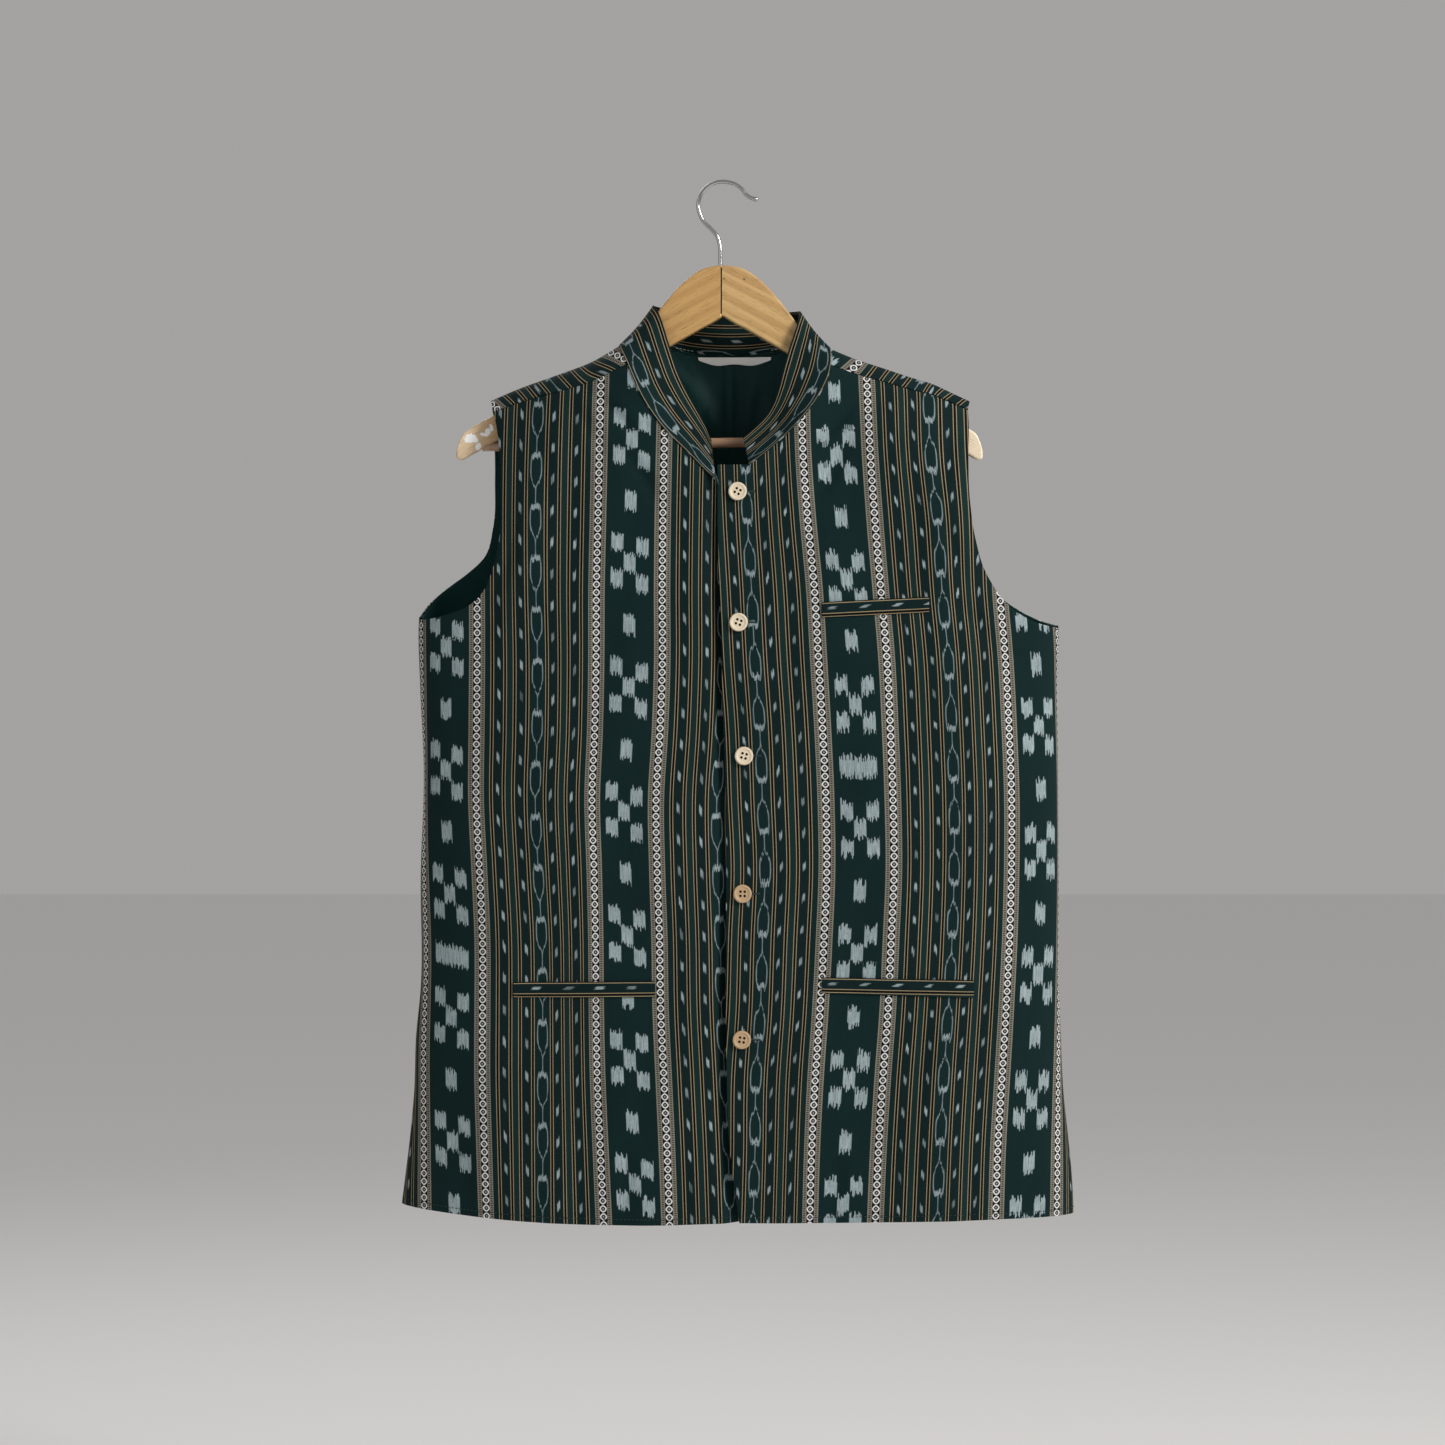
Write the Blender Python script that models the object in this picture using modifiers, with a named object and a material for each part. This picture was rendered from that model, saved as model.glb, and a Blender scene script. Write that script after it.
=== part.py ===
"""A sleeveless band-collar waistcoat that hangs on a wooden hanger.

The tables below are in millimetres, and a mesh is turned to metres when it is made.
X runs to the viewer's right, Y away from the viewer and Z up.
The origin is the point under the crown of the hook where a rail holds it.
"across" is X, "up" is Z and "depth" is Y.
"""

import math

import bmesh
import bpy
import numpy as np
from mathutils import Matrix, Vector

MM = 0.001
COLLECTION_NAME = "nehru_jacket"
CUTTERS_NAME = "cutters"

# Walls and gaps
FRONT_WALL = 1.8
BACK_WALL = 1.5
LINING_WALL = 1.0
COLLAR_WALL = 2.4
WELT_WALL = 1.2
LABEL_WALL = 0.5
SIDE_GAP = 0.35
SEAM_GAP = 0.5
LAID_GAP = 0.3
LINING_INSET = 2.7
LABEL_INSET = LINING_INSET + LINING_WALL + 1.0

# The body as a flattened tube: its left and right edges and how far each sheet stands off, by height
BODY_COLUMNS = ("up", "left", "right", "front", "back")
BODY = (
    (-880, -272.0, 298.0, 50, 45),
    (-841, -267.0, 296.5, 50, 44),
    (-799, -262.0, 292.5, 49, 43),
    (-765, -259.0, 289.0, 48, 42),
    (-720, -257.5, 287.0, 47, 42),
    (-678, -253.5, 285.5, 46, 42),
    (-583, -253.5, 285.0, 46, 42),
    (-494, -251.0, 284.5, 46, 42),
    (-425, -254.0, 284.0, 45, 42),
    (-367, -255.0, 284.5, 44, 42),
    (-300, -245.0, 272.0, 42, 42),
    (-250, -234.0, 259.0, 41, 42),
    (-190, -222.0, 241.0, 40, 43),
    (-100, -214.0, 230.0, 40, 45),
)
SIDE_POWER = 4.0
SHOULDER_ROUNDING = 75.0
NORMAL_STEP = 0.5

# The line along the top of the shoulders. Between the two neck points it is only a guide.
RIDGE_COLUMNS = ("across", "up")
RIDGE = (
    (-230.0, -200.0),
    (-194.2, -183.2),
    (-168.4, -172.2),
    (-148.6, -165.1),
    (-128.3, -157.9),
    (-108.9, -150.3),
    (-84.7, -136.2),
    (-50.0, -117.0),
    (0.0, -101.0),
    (50.0, -117.0),
    (90.8, -138.5),
    (110.6, -146.9),
    (138.5, -156.2),
    (158.8, -163.0),
    (178.2, -168.9),
    (198.4, -178.2),
    (245.0, -200.0),
)

# The neck seam and the collar's top edge, from the end that lies under round to the end on top
COLLAR_COLUMNS = ("face", "across", "up", "top_across", "top_depth", "top_up")
FRONT, BACK = -1, 1
COLLAR = (
    (FRONT, -4.6, -252.0, -8.0, -33.0, -219.0),
    (FRONT, -15.0, -242.4, -12.4, -30.0, -208.0),
    (FRONT, -27.5, -229.6, -18.5, -28.0, -196.5),
    (FRONT, -42.5, -214.9, -25.5, -26.0, -183.5),
    (FRONT, -55.1, -199.7, -31.5, -23.5, -171.5),
    (FRONT, -65.8, -183.0, -37.0, -20.5, -158.5),
    (FRONT, -73.0, -167.0, -41.0, -17.5, -146.0),
    (FRONT, -78.4, -153.6, -45.0, -14.0, -133.0),
    (FRONT, -82.6, -143.6, -49.4, -11.5, -118.0),
    (FRONT, -84.3, -138.9, -53.2, -8.4, -108.5),
    (BACK, -84.7, -136.4, -56.4, 0.5, -103.2),
    (BACK, -74.0, -134.2, -53.5, 14.0, -102.5),
    (BACK, -48.0, -135.2, -40.0, 29.0, -103.5),
    (BACK, -22.0, -139.4, -20.0, 39.0, -105.5),
    (BACK, 3.0, -141.2, 3.0, 42.5, -106.5),
    (BACK, 28.0, -140.4, 26.0, 39.0, -106.5),
    (BACK, 54.0, -137.4, 48.0, 29.0, -106.0),
    (BACK, 80.0, -136.4, 62.5, 14.0, -106.5),
    (BACK, 90.8, -138.7, 66.4, 0.5, -108.4),
    (FRONT, 91.6, -141.4, 65.6, -8.6, -114.0),
    (FRONT, 92.2, -146.6, 62.8, -11.5, -124.0),
    (FRONT, 92.0, -154.5, 58.0, -13.5, -138.5),
    (FRONT, 89.8, -164.8, 54.5, -16.5, -150.5),
    (FRONT, 84.8, -176.2, 51.5, -19.0, -162.0),
    (FRONT, 78.0, -187.6, 49.0, -21.0, -173.0),
    (FRONT, 67.6, -200.6, 45.0, -22.5, -186.0),
    (FRONT, 56.4, -212.6, 39.5, -24.0, -196.5),
    (FRONT, 45.0, -223.0, 33.0, -25.5, -204.0),
    (FRONT, 33.5, -232.4, 26.0, -27.0, -210.5),
    (FRONT, 23.4, -239.6, 18.6, -28.0, -217.0),
)
LEFT_SEAM_ROW, LEFT_RIDGE_ROW = 7, 10
RIGHT_RIDGE_ROW, RIGHT_SEAM_ROW = 18, 21
COLLAR_BULGE = 1.2
COLLAR_LIFT = 1.5
COLLAR_SAMPLES = 59
COLLAR_ROWS = 4

# Armhole edges from the underarm, which is station 1, up to the shoulder seam
ARMHOLE_COLUMNS = ("station", "across", "up")
FRONT_ARMHOLE_LEFT = (
    (1.00, -255.0, -368.4),
    (1.10, -243.0, -367.4),
    (1.25, -226.2, -363.0),
    (1.40, -210.4, -356.6),
    (1.53, -199.0, -345.4),
    (1.66, -191.6, -329.0),
    (1.83, -185.8, -303.7),
    (2.15, -184.0, -264.0),
    (2.50, -185.3, -230.2),
    (2.80, -188.6, -204.6),
    (3.00, -191.6, -193.6),
)
FRONT_ARMHOLE_RIGHT = (
    (1.00, 284.8, -375.4),
    (1.12, 267.0, -371.6),
    (1.25, 250.0, -363.8),
    (1.38, 238.0, -353.8),
    (1.50, 228.4, -341.6),
    (1.62, 219.8, -326.0),
    (1.80, 212.5, -300.4),
    (2.05, 208.4, -272.0),
    (2.45, 207.0, -237.0),
    (2.80, 208.0, -207.0),
    (3.00, 207.6, -191.6),
)
BACK_ARMHOLE_LEFT = (
    (1.0, -255.0, -366.0),
    (1.2, -247.0, -354.0),
    (1.4, -233.0, -341.0),
    (1.6, -216.0, -328.0),
    (1.8, -201.8, -314.0),
    (2.1, -194.4, -288.0),
    (2.6, -192.8, -248.0),
    (3.2, -193.0, -212.0),
    (3.7, -193.8, -188.6),
    (4.0, -194.2, -183.2),
)
BACK_ARMHOLE_RIGHT = (
    (1.0, 284.8, -373.0),
    (1.2, 266.0, -366.0),
    (1.4, 246.0, -354.0),
    (1.6, 229.0, -338.0),
    (1.8, 217.0, -318.0),
    (2.1, 209.6, -288.0),
    (2.6, 207.0, -248.0),
    (3.2, 208.4, -212.0),
    (3.7, 209.4, -189.0),
    (4.0, 209.8, -183.4),
)
SEAM_END_LEFT = (-191.6, -193.0)
SEAM_END_RIGHT = (207.6, -191.0)

# The edge of the overlapping front and the recess that the other front makes beside and behind it
EDGE_COLUMNS = ("up", "across", "recess")
EDGE = (
    (-875, 16.0, 8.5),
    (-840, 10.8, 8.5),
    (-800, 6.6, 8.0),
    (-740, 4.6, 6.0),
    (-620, 4.2, 4.6),
    (-519, 4.0, 4.4),
    (-440, 1.4, 4.4),
    (-369, 0.0, 4.4),
    (-303, -2.4, 4.2),
    (-240, -2.9, 3.0),
)
STAND_WIDTH = 26.3
UNDERLAP = 30.0
UNDER_EDGE = 1.4
RECESS_WIDTH = 17.0

# Hems: where each guide line starts, and how far the cloth sags between them
HEM_SIDE_LEFT, HEM_SIDE_RIGHT = -860.0, -868.0
HEM_CENTRE = -871.0
HEM_SAG_LEFT, HEM_SAG_RIGHT, HEM_SAG_BACK = 6.5, 0.6, 3.0
LINING_SHORTER = 20.0
LINING_BELOW_SEAM, LINING_SHOULDER_STATION = 2.6, 3.8

# The largest folds: a ridge stands out and has a positive rise, a trough a negative one
FOLD_COLUMNS = ("face", "across", "up", "lean", "length", "width", "rise")
FOLDS = (
    (FRONT, 108, -228, 24, 46, 19, -4.0),
    (FRONT, 133, -236, 14, 52, 19, 2.6),
    (FRONT, 184, -286, -4, 62, 19, 4.0),
    (FRONT, 160, -310, 4, 90, 19, -2.8),
    (FRONT, 244, -470, 3, 120, 19, -3.0),
    (FRONT, 214, -600, -2, 150, 22, 2.6),
    (FRONT, 232, -800, 2, 95, 22, -3.4),
    (FRONT, 185, -812, 1, 90, 22, 3.0),
    (FRONT, 118, -800, 3, 90, 20, -2.2),
    (FRONT, 60, -790, -2, 110, 22, 2.2),
    (FRONT, -160, -300, 6, 80, 19, 3.0),
    (FRONT, -118, -262, 16, 70, 19, -2.6),
    (FRONT, -226, -520, 2, 120, 19, -2.8),
    (FRONT, -198, -640, -3, 140, 22, 2.4),
    (FRONT, -232, -770, -5, 100, 19, -3.2),
    (FRONT, -190, -790, -4, 95, 22, 3.2),
    (FRONT, -110, -800, -2, 100, 20, -2.4),
    (FRONT, -42, -790, 1, 120, 19, 2.6),
    (BACK, -206, -470, -3, 120, 22, -3.0),
    (BACK, -120, -420, 8, 150, 22, 3.2),
    (BACK, -64, -760, -3, 120, 22, 3.6),
    (BACK, 12, -700, 0, 170, 19, -3.4),
    (BACK, 84, -770, 4, 110, 22, 3.6),
    (BACK, 150, -440, -7, 140, 22, 3.0),
    (BACK, 232, -560, 3, 140, 22, -3.0),
    (BACK, 190, -790, 2, 100, 22, -3.0),
    (BACK, -170, -790, -2, 100, 22, -3.2),
)

# The mesh: stations of the rows and the number of columns in each strip
FRONT_STATIONS = (*np.linspace(0, 0.98, 13), 1.0, *np.linspace(1, 2, 9)[1:], *np.linspace(2, 3, 8)[1:])
BACK_STATIONS = (*np.linspace(0, 0.98, 12), 1.0, *np.linspace(1, 3, 9)[1:], 3.3, 3.55, 3.75, 3.88, 3.96)
SHOULDER_STATIONS = (4.0, 4.15, 4.45, 4.75, 5.0)
FRONT_COLUMNS, STAND_COLUMNS = 15, 2
BACK_SIDE_COLUMNS, BACK_NECK_COLUMNS = 10, 10
EDGE_EASE = 0.15
NECK_SPREAD = 0.11
BOW_START, BOW_SPAN = 1.6, 2.4

# Pocket welts, each with its lower edge's two ends and its height at each end
WELT_COLUMNS = ("name", "left", "left_up", "right", "right_up", "left_height", "right_height")
WELTS = (
    ("welt_chest", 84.1, -366.9, 173.4, -362.6, 12.2, 12.4),
    ("welt_left", -173.0, -683.4, -54.8, -682.9, 12.2, 12.8),
    ("welt_right", 83.9, -679.5, 210.5, -683.9, 12.6, 14.2),
)
WELT_SAMPLES = 12

# Buttons: places on the overlapping front, from the top down
BUTTON_COLUMNS = ("across", "up")
BUTTONS = (
    (13.8, -262.0),
    (14.6, -371.2),
    (19.1, -482.5),
    (17.9, -597.2),
    (17.3, -718.7),
)
BUTTON_RADIUS = 7.7
BUTTON_THICKNESS = 3.0
BUTTON_EDGE = 0.7
BUTTON_DISH_RADIUS, BUTTON_DISH_DEPTH, BUTTON_DISH_SLOPE = 5.2, 0.8, 0.6
BUTTON_HOLE_RADIUS = 0.95
BUTTON_HOLE_REACH = 2.15
BUTTON_HOLE_TURN = 17.0
BUTTON_SIDES, BUTTON_HOLE_SIDES = 20, 6

# The neck label, a plain strip under the collar at the back
LABEL_LEFT, LABEL_RIGHT = -19.6, 42.7
LABEL_TOP, LABEL_DROP, LABEL_WAVE = -143.2, 5.6, 2.0
LABEL_SAMPLES = 12

# The hanger's arms: top and bottom edges by distance from the middle
HANGER_MIDDLE, MITRE = 1.8, -0.4
ARM_THICKNESS, ARM_BEVEL = 12.0, 1.8
ARM_CREASE = 50.0
ARM_COLUMNS = ("distance", "top", "bottom")
ARM = (
    (0.0, -69.1, -111.8),
    (9.0, -69.9, -117.6),
    (18.3, -72.6, -122.4),
    (27.5, -78.4, -127.7),
    (36.0, -85.8, -132.6),
    (45.0, -95.6, -137.8),
    (54.0, -107.0, -143.0),
    (64.0, -120.0, -148.7),
    (75.0, -131.6, -155.1),
    (87.0, -140.6, -162.0),
    (102.0, -148.6, -170.7),
    (128.0, -163.4, -185.7),
    (158.0, -178.6, -203.0),
    (190.0, -195.6, -221.5),
    (211.0, -207.4, -233.2),
    (218.0, -213.6, -235.6),
    (222.0, -224.0, -234.4),
)
BAR_RADIUS, BAR_UP = 4.25, -218.2
BAR_END = 200.0
SOCKET_CLEARANCE, SOCKET_END_CLEARANCE = 0.35, 0.5
SOCKET_MOUTH = 165.0
BAR_SIDES = 16

# The hook's wire, from the wood up and over to the ball at its tip
HOOK_COLUMNS = ("across", "up")
HOOK = (
    (-0.4, -80.0),
    (-0.6, -66.0),
    (-0.9, -53.2),
    (-3.0, -44.7),
    (-8.2, -38.2),
    (-14.6, -31.8),
    (-18.4, -23.6),
    (-19.2, -16.0),
    (-16.2, -7.4),
    (-8.6, -0.4),
    (0.6, 1.95),
    (10.2, 0.5),
    (17.0, -3.7),
    (21.1, -8.8),
    (25.0, -11.6),
    (28.4, -12.6),
)
WIRE_RADIUS = 1.75
WIRE_SIDES = 12
BALL_RADIUS = 2.1
BALL_CUT = 0.96
BALL_STEPS = 6
HOOK_STEPS = 3
HOOK_HOLE_CLEARANCE = 0.35
HOOK_HOLE_DEPTH, HOOK_HOLE_ABOVE = 11.6, 10.0

MATERIALS = {
    "cloth": ((0.020, 0.036, 0.038), 0.85, 0.0),
    "lining": ((0.006, 0.020, 0.020), 0.6, 0.0),
    "label": ((0.72, 0.72, 0.70), 0.8, 0.0),
    "button": ((0.80, 0.74, 0.62), 0.4, 0.0),
    "wood": ((0.62, 0.40, 0.17), 0.4, 0.0),
    "chrome": ((0.62, 0.62, 0.62), 0.15, 1.0),
}


def columns(names, rows):
    """A table as named arrays."""
    return {name: np.array([row[i] for row in rows]) for i, name in enumerate(names)}


def smooth(stations, values, at):
    """A cubic curve through the values, which leaves each station with its neighbours' mean slope."""
    stations = np.asarray(stations, float)
    values = np.asarray(values, float)
    slopes = np.gradient(values, stations)
    at = np.clip(at, stations[0], stations[-1])
    i = np.clip(np.searchsorted(stations, at) - 1, 0, len(stations) - 2)
    span = stations[i + 1] - stations[i]
    t = (at - stations[i]) / span
    start = values[i] * (1 + 2 * t) * (1 - t) ** 2 + slopes[i] * span * t * (1 - t) ** 2
    end = values[i + 1] * (3 - 2 * t) * t**2 - slopes[i + 1] * span * t**2 * (1 - t)
    return start + end


def smoothstep(t):
    """0 below 0 and 1 above 1, with a soft rise between."""
    t = np.clip(t, 0.0, 1.0)
    return t * t * (3 - 2 * t)


body = columns(BODY_COLUMNS, BODY)
ridge_line = columns(RIDGE_COLUMNS, RIDGE)
collar = columns(COLLAR_COLUMNS, COLLAR)
edge = columns(EDGE_COLUMNS, EDGE)
arm = columns(ARM_COLUMNS, ARM)
hook = columns(HOOK_COLUMNS, HOOK)


def body_at(name, up):
    return smooth(body["up"], body[name], up)


def ridge_at(across):
    return smooth(ridge_line["across"], ridge_line["up"], across)


def folds_at(face, across, up):
    """How far the folds of one face stand out of the plain sheet."""
    total = np.zeros(np.broadcast(across, up).shape)
    for row in FOLDS:
        fold = dict(zip(FOLD_COLUMNS, row))
        if fold["face"] == face:
            lean = math.radians(fold["lean"])
            right, rise = across - fold["across"], up - fold["up"]
            along = right * math.sin(lean) + rise * math.cos(lean)
            beside = right * math.cos(lean) - rise * math.sin(lean)
            total += fold["rise"] * np.exp(-((along / fold["length"]) ** 2) - (beside / fold["width"]) ** 2)
    return total


def sheet_depth(face, across, up, inset=0.0):
    """Depth of the front or back sheet: a superellipse across, a quarter ellipse down from the ridge."""
    left, right = body_at("left", up) + inset, body_at("right", up) - inset
    middle, half = (left + right) / 2, (right - left) / 2
    reach = body_at("front" if face == FRONT else "back", up) - inset
    beside = np.clip(np.abs(across - middle) / half, 0, 1)
    round_side = np.sqrt(1 - beside**SIDE_POWER)
    drop = np.clip((ridge_at(across) - inset - up) / SHOULDER_ROUNDING, 0, 1)
    round_top = np.sqrt(1 - (1 - drop) ** 2)
    soft = np.clip(round_side * round_top, 0, 1)
    return face * (SIDE_GAP + reach * soft + folds_at(face, across, up) * soft**2)


def on_front(across, up, out=0.0):
    """Points of the front sheet, moved out along its normal."""
    step = NORMAL_STEP
    depth = sheet_depth(FRONT, across, up)
    rise_x = sheet_depth(FRONT, across + step, up) - sheet_depth(FRONT, across - step, up)
    rise_z = sheet_depth(FRONT, across, up + step) - sheet_depth(FRONT, across, up - step)
    normal = np.stack([rise_x, np.full_like(rise_x, -2 * step), rise_z], -1)
    normal /= np.linalg.norm(normal, axis=-1, keepdims=True)
    return np.stack([across, depth, up], -1) + normal * out


def over_shoulder(across, along, inset=0.0):
    """Points of the back sheet, which goes up to the ridge and then comes down the front."""
    ridge = ridge_at(across) - inset
    up = np.where(along > ridge, 2 * ridge - along, along)
    back = sheet_depth(BACK, across, up, inset)
    front = sheet_depth(FRONT, across, up, inset)
    turned = np.clip((along - ridge) / SIDE_GAP, -1, 1)
    depth = np.where(turned > 0, front, back)
    depth = np.where(np.abs(turned) < 1e-6, 0.0, depth)
    return np.stack([across, depth, up], -1)


def guide(table, stations):
    """The across and along values of a guide line at each row's station."""
    named = columns(ARMHOLE_COLUMNS, table)
    return (
        smooth(named["station"], named["across"], stations),
        smooth(named["station"], named["up"], stations),
    )


def side_guide(table, side, hem, stations, inset=0.0):
    """A panel's outer guide: the side seam up to station 1, then the armhole's edge."""
    underarm = table[0][2]
    rise = hem + (underarm - hem) * np.clip(stations, 0, 1)
    seam = body_at(side, rise)
    across, up = guide(table, stations)
    inward = inset if side == "left" else -inset
    return np.where(stations <= 1, seam, across) + inward, np.where(stations <= 1, rise, up)


def strip(start, end, weights):
    """Rows ruled between two guide lines: the across and along values of each point."""
    across = start[0][:, None] * (1 - weights) + end[0][:, None] * weights
    along = start[1][:, None] * (1 - weights) + end[1][:, None] * weights
    return across, along


def bow_to_ridge(across, along, amount):
    """Lets each row follow the ridge's bend as much as its amount says."""
    first, last = across[:, :1], across[:, -1:]
    weights = (across - first) / (last - first)
    chord = ridge_at(first) * (1 - weights) + ridge_at(last) * weights
    return along + amount[:, None] * (ridge_at(across) - chord)


def eased(count):
    """Column weights from 0 to 1, even over most of the cloth and close together at the turned edge."""
    even = np.linspace(0, 1, count + 1)
    steps = np.concatenate([[0, even[1] / 4, even[1] / 2], even[1:]])
    return steps**2 * (1 + EDGE_EASE) / (steps + EDGE_EASE)


def panel_mesh(name, points, present, flip=False):
    """An open surface from a grid of points, without the ones that aren't present."""
    index = np.where(present, np.cumsum(present.ravel()).reshape(present.shape) - 1, -1)
    quads = np.stack([index[:-1, :-1], index[:-1, 1:], index[1:, 1:], index[1:, :-1]], -1)
    whole = (quads >= 0).all(-1)
    faces = quads[whole]
    if flip:
        faces = faces[:, ::-1]
    mesh = bpy.data.meshes.new(name)
    mesh.from_pydata((points[present] * MM).tolist(), [], faces.tolist())
    mesh.update()
    return mesh


def add_object(name, mesh, material):
    obj = bpy.data.objects.new(name, mesh)
    bpy.data.collections[COLLECTION_NAME].objects.link(obj)
    mesh.materials.append(bpy.data.materials[material])
    mesh.shade_smooth()
    return obj


def add_wall(obj, thickness, offset=-1.0):
    """Cloth's thickness: -1 keeps the surface as the outer face, 1 as the inner one."""
    wall = obj.modifiers.new("Wall", "SOLIDIFY")
    wall.thickness = thickness * MM
    wall.offset = offset
    wall.use_even_offset = False
    return wall


def neck_rows(first, last):
    """The neck seam's points between two rows of the collar's table, ends included."""
    step = 1 if last > first else -1
    rows = np.arange(first, last + step, step)
    return collar["across"][rows], collar["up"][rows]


def front_inner_guide(main_line, neck, stations):
    """A front's inner guide: down its front edge to station 2, then along the neck seam to station 3."""
    neck_across, neck_up = neck
    rise = HEM_CENTRE + (neck_up[0] - HEM_CENTRE) * np.clip(stations, 0, 2) / 2
    spread = np.linspace(2, 3, len(neck_across))
    across = np.where(stations <= 2, main_line(rise), smooth(spread, neck_across, stations))
    up = np.where(stations <= 2, rise, smooth(spread, neck_up, stations))
    return across, up


def make_front(name, armhole, side, hem, sag, neck, stand_line, main_line, recessed):
    """One front: a wide strip from the side to the collar's end, and the stand beyond it."""
    stations = np.array(FRONT_STATIONS)
    outer = side_guide(armhole, side, hem, stations)
    inner = front_inner_guide(main_line, neck, stations)
    under_seam = SEAM_GAP * smoothstep(stations - 2)
    outer = (outer[0], outer[1] - under_seam)
    inner = (inner[0], inner[1] - under_seam)
    weights = eased(FRONT_COLUMNS)
    across, up = strip(outer, inner, weights)
    up = up - sag * np.sin(math.pi * weights) * (1 - smoothstep(stations * 3))[:, None]
    up = bow_to_ridge(across, up, smoothstep(stations - 2))
    stand_across = stand_line(inner[1])
    beyond = np.arange(1, STAND_COLUMNS + 1) / STAND_COLUMNS
    stand_x, stand_z = strip(inner, (stand_across, inner[1]), beyond)
    across, up = np.hstack([across, stand_x]), np.hstack([up, stand_z])
    present = np.ones(across.shape, bool)
    present[:, len(weights) :] = (stations <= 2)[:, None]
    if side == "right":
        across, up, present = across[:, ::-1], up[:, ::-1], present[:, ::-1]
    points = on_front(across, up)
    if recessed:
        gap_start = smooth(edge["up"], edge["across"], up) - RECESS_WIDTH
        recess = smooth(edge["up"], edge["recess"], up)
        points[..., 1] += recess * smoothstep((across - gap_start) / RECESS_WIDTH)
    obj = add_object(name, panel_mesh(name, points, present), "cloth")
    add_wall(obj, FRONT_WALL)
    return obj


def overlap_edge(up):
    return smooth(edge["up"], edge["across"], up)


def make_fronts():
    make_front(
        "front_right",
        FRONT_ARMHOLE_LEFT,
        "left",
        HEM_SIDE_LEFT,
        HEM_SAG_LEFT,
        neck_rows(0, LEFT_SEAM_ROW),
        lambda up: overlap_edge(up) + UNDERLAP,
        lambda up: overlap_edge(up) - UNDER_EDGE,
        True,
    )
    make_front(
        "front_left",
        FRONT_ARMHOLE_RIGHT,
        "right",
        HEM_SIDE_RIGHT,
        HEM_SAG_RIGHT,
        neck_rows(len(COLLAR) - 1, RIGHT_SEAM_ROW),
        overlap_edge,
        lambda up: overlap_edge(up) + STAND_WIDTH,
        False,
    )


def back_neck_guide(side, hem, stations):
    """The line under a neck point: straight up to the ridge at station 4, then over it to the seam."""
    left = side == "left"
    rows = np.arange(LEFT_RIDGE_ROW, LEFT_SEAM_ROW - 1, -1) if left else np.arange(RIGHT_RIDGE_ROW, RIGHT_SEAM_ROW + 1)
    across, up = collar["across"][rows], collar["up"][rows]
    along = np.where(collar["face"][rows] == FRONT, 2 * ridge_at(across) - up, up)
    spread = np.linspace(4, 5, len(rows))
    rise = hem + (along[0] - hem) * np.clip(stations, 0, 4) / 4
    beyond = smooth(spread, across, stations), smooth(spread, along, stations)
    return np.where(stations <= 4, across[0], beyond[0]), np.where(stations <= 4, rise, beyond[1])


def back_outer_guide(armhole, side, hem, seam_end, stations):
    """The back's side seam and armhole up to the ridge at station 4, then over it to the seam's end."""
    across, along = side_guide(armhole, side, hem, stations)
    over = np.clip(stations - 4, 0, 1)
    end_along = 2 * ridge_at(seam_end[0]) - seam_end[1]
    return across + over * (seam_end[0] - across), along + over * (end_along - along)


def back_grid(stations, inset, hem_rise):
    """The back's three strips: beside, under and beside the neck opening."""
    left = back_outer_guide(BACK_ARMHOLE_LEFT, "left", HEM_SIDE_LEFT + hem_rise, SEAM_END_LEFT, stations)
    right = back_outer_guide(BACK_ARMHOLE_RIGHT, "right", HEM_SIDE_RIGHT + hem_rise, SEAM_END_RIGHT, stations)
    left = (left[0] + inset, left[1])
    right = (right[0] - inset, right[1])
    hem_left = HEM_SIDE_LEFT - HEM_SAG_BACK + hem_rise
    hem_right = HEM_SIDE_RIGHT - HEM_SAG_BACK + hem_rise
    neck_left = back_neck_guide("left", hem_left, stations)
    neck_right = back_neck_guide("right", hem_right, stations)
    follow = smoothstep((stations - BOW_START) / BOW_SPAN)
    side_weights = eased(BACK_SIDE_COLUMNS)
    across_left, along_left = strip(left, neck_left, side_weights)
    along_left = bow_to_ridge(across_left, along_left, follow)
    across_right, along_right = strip(neck_right, right, 1 - side_weights[::-1])
    along_right = bow_to_ridge(across_right, along_right, follow)
    even = np.linspace(0, 1, BACK_NECK_COLUMNS + 1)
    middle_weights = even - NECK_SPREAD * np.sin(2 * math.pi * even)
    across_neck, along_neck = strip(neck_left, neck_right, middle_weights)
    rows = np.arange(LEFT_RIDGE_ROW, RIGHT_RIDGE_ROW + 1)
    seam = smooth(collar["across"][rows], collar["up"][rows], across_neck)
    reach = smoothstep(np.clip(stations, 0, 4) - 3)[:, None]
    along_neck = along_neck + reach * (seam - along_neck)
    across = np.hstack([across_left, across_neck[:, 1:-1], across_right])
    along = np.hstack([along_left, along_neck[:, 1:-1], along_right])
    present = np.ones(across.shape, bool)
    first = across_left.shape[1]
    present[:, first : first + BACK_NECK_COLUMNS - 1] = (stations <= 4)[:, None]
    return across, along, present


def make_back():
    stations = np.array(BACK_STATIONS + SHOULDER_STATIONS)
    across, along, present = back_grid(stations, 0.0, 0.0)
    points = over_shoulder(across, along)
    obj = add_object("back", panel_mesh("back", points, present, flip=True), "cloth")
    add_wall(obj, BACK_WALL)


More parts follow.
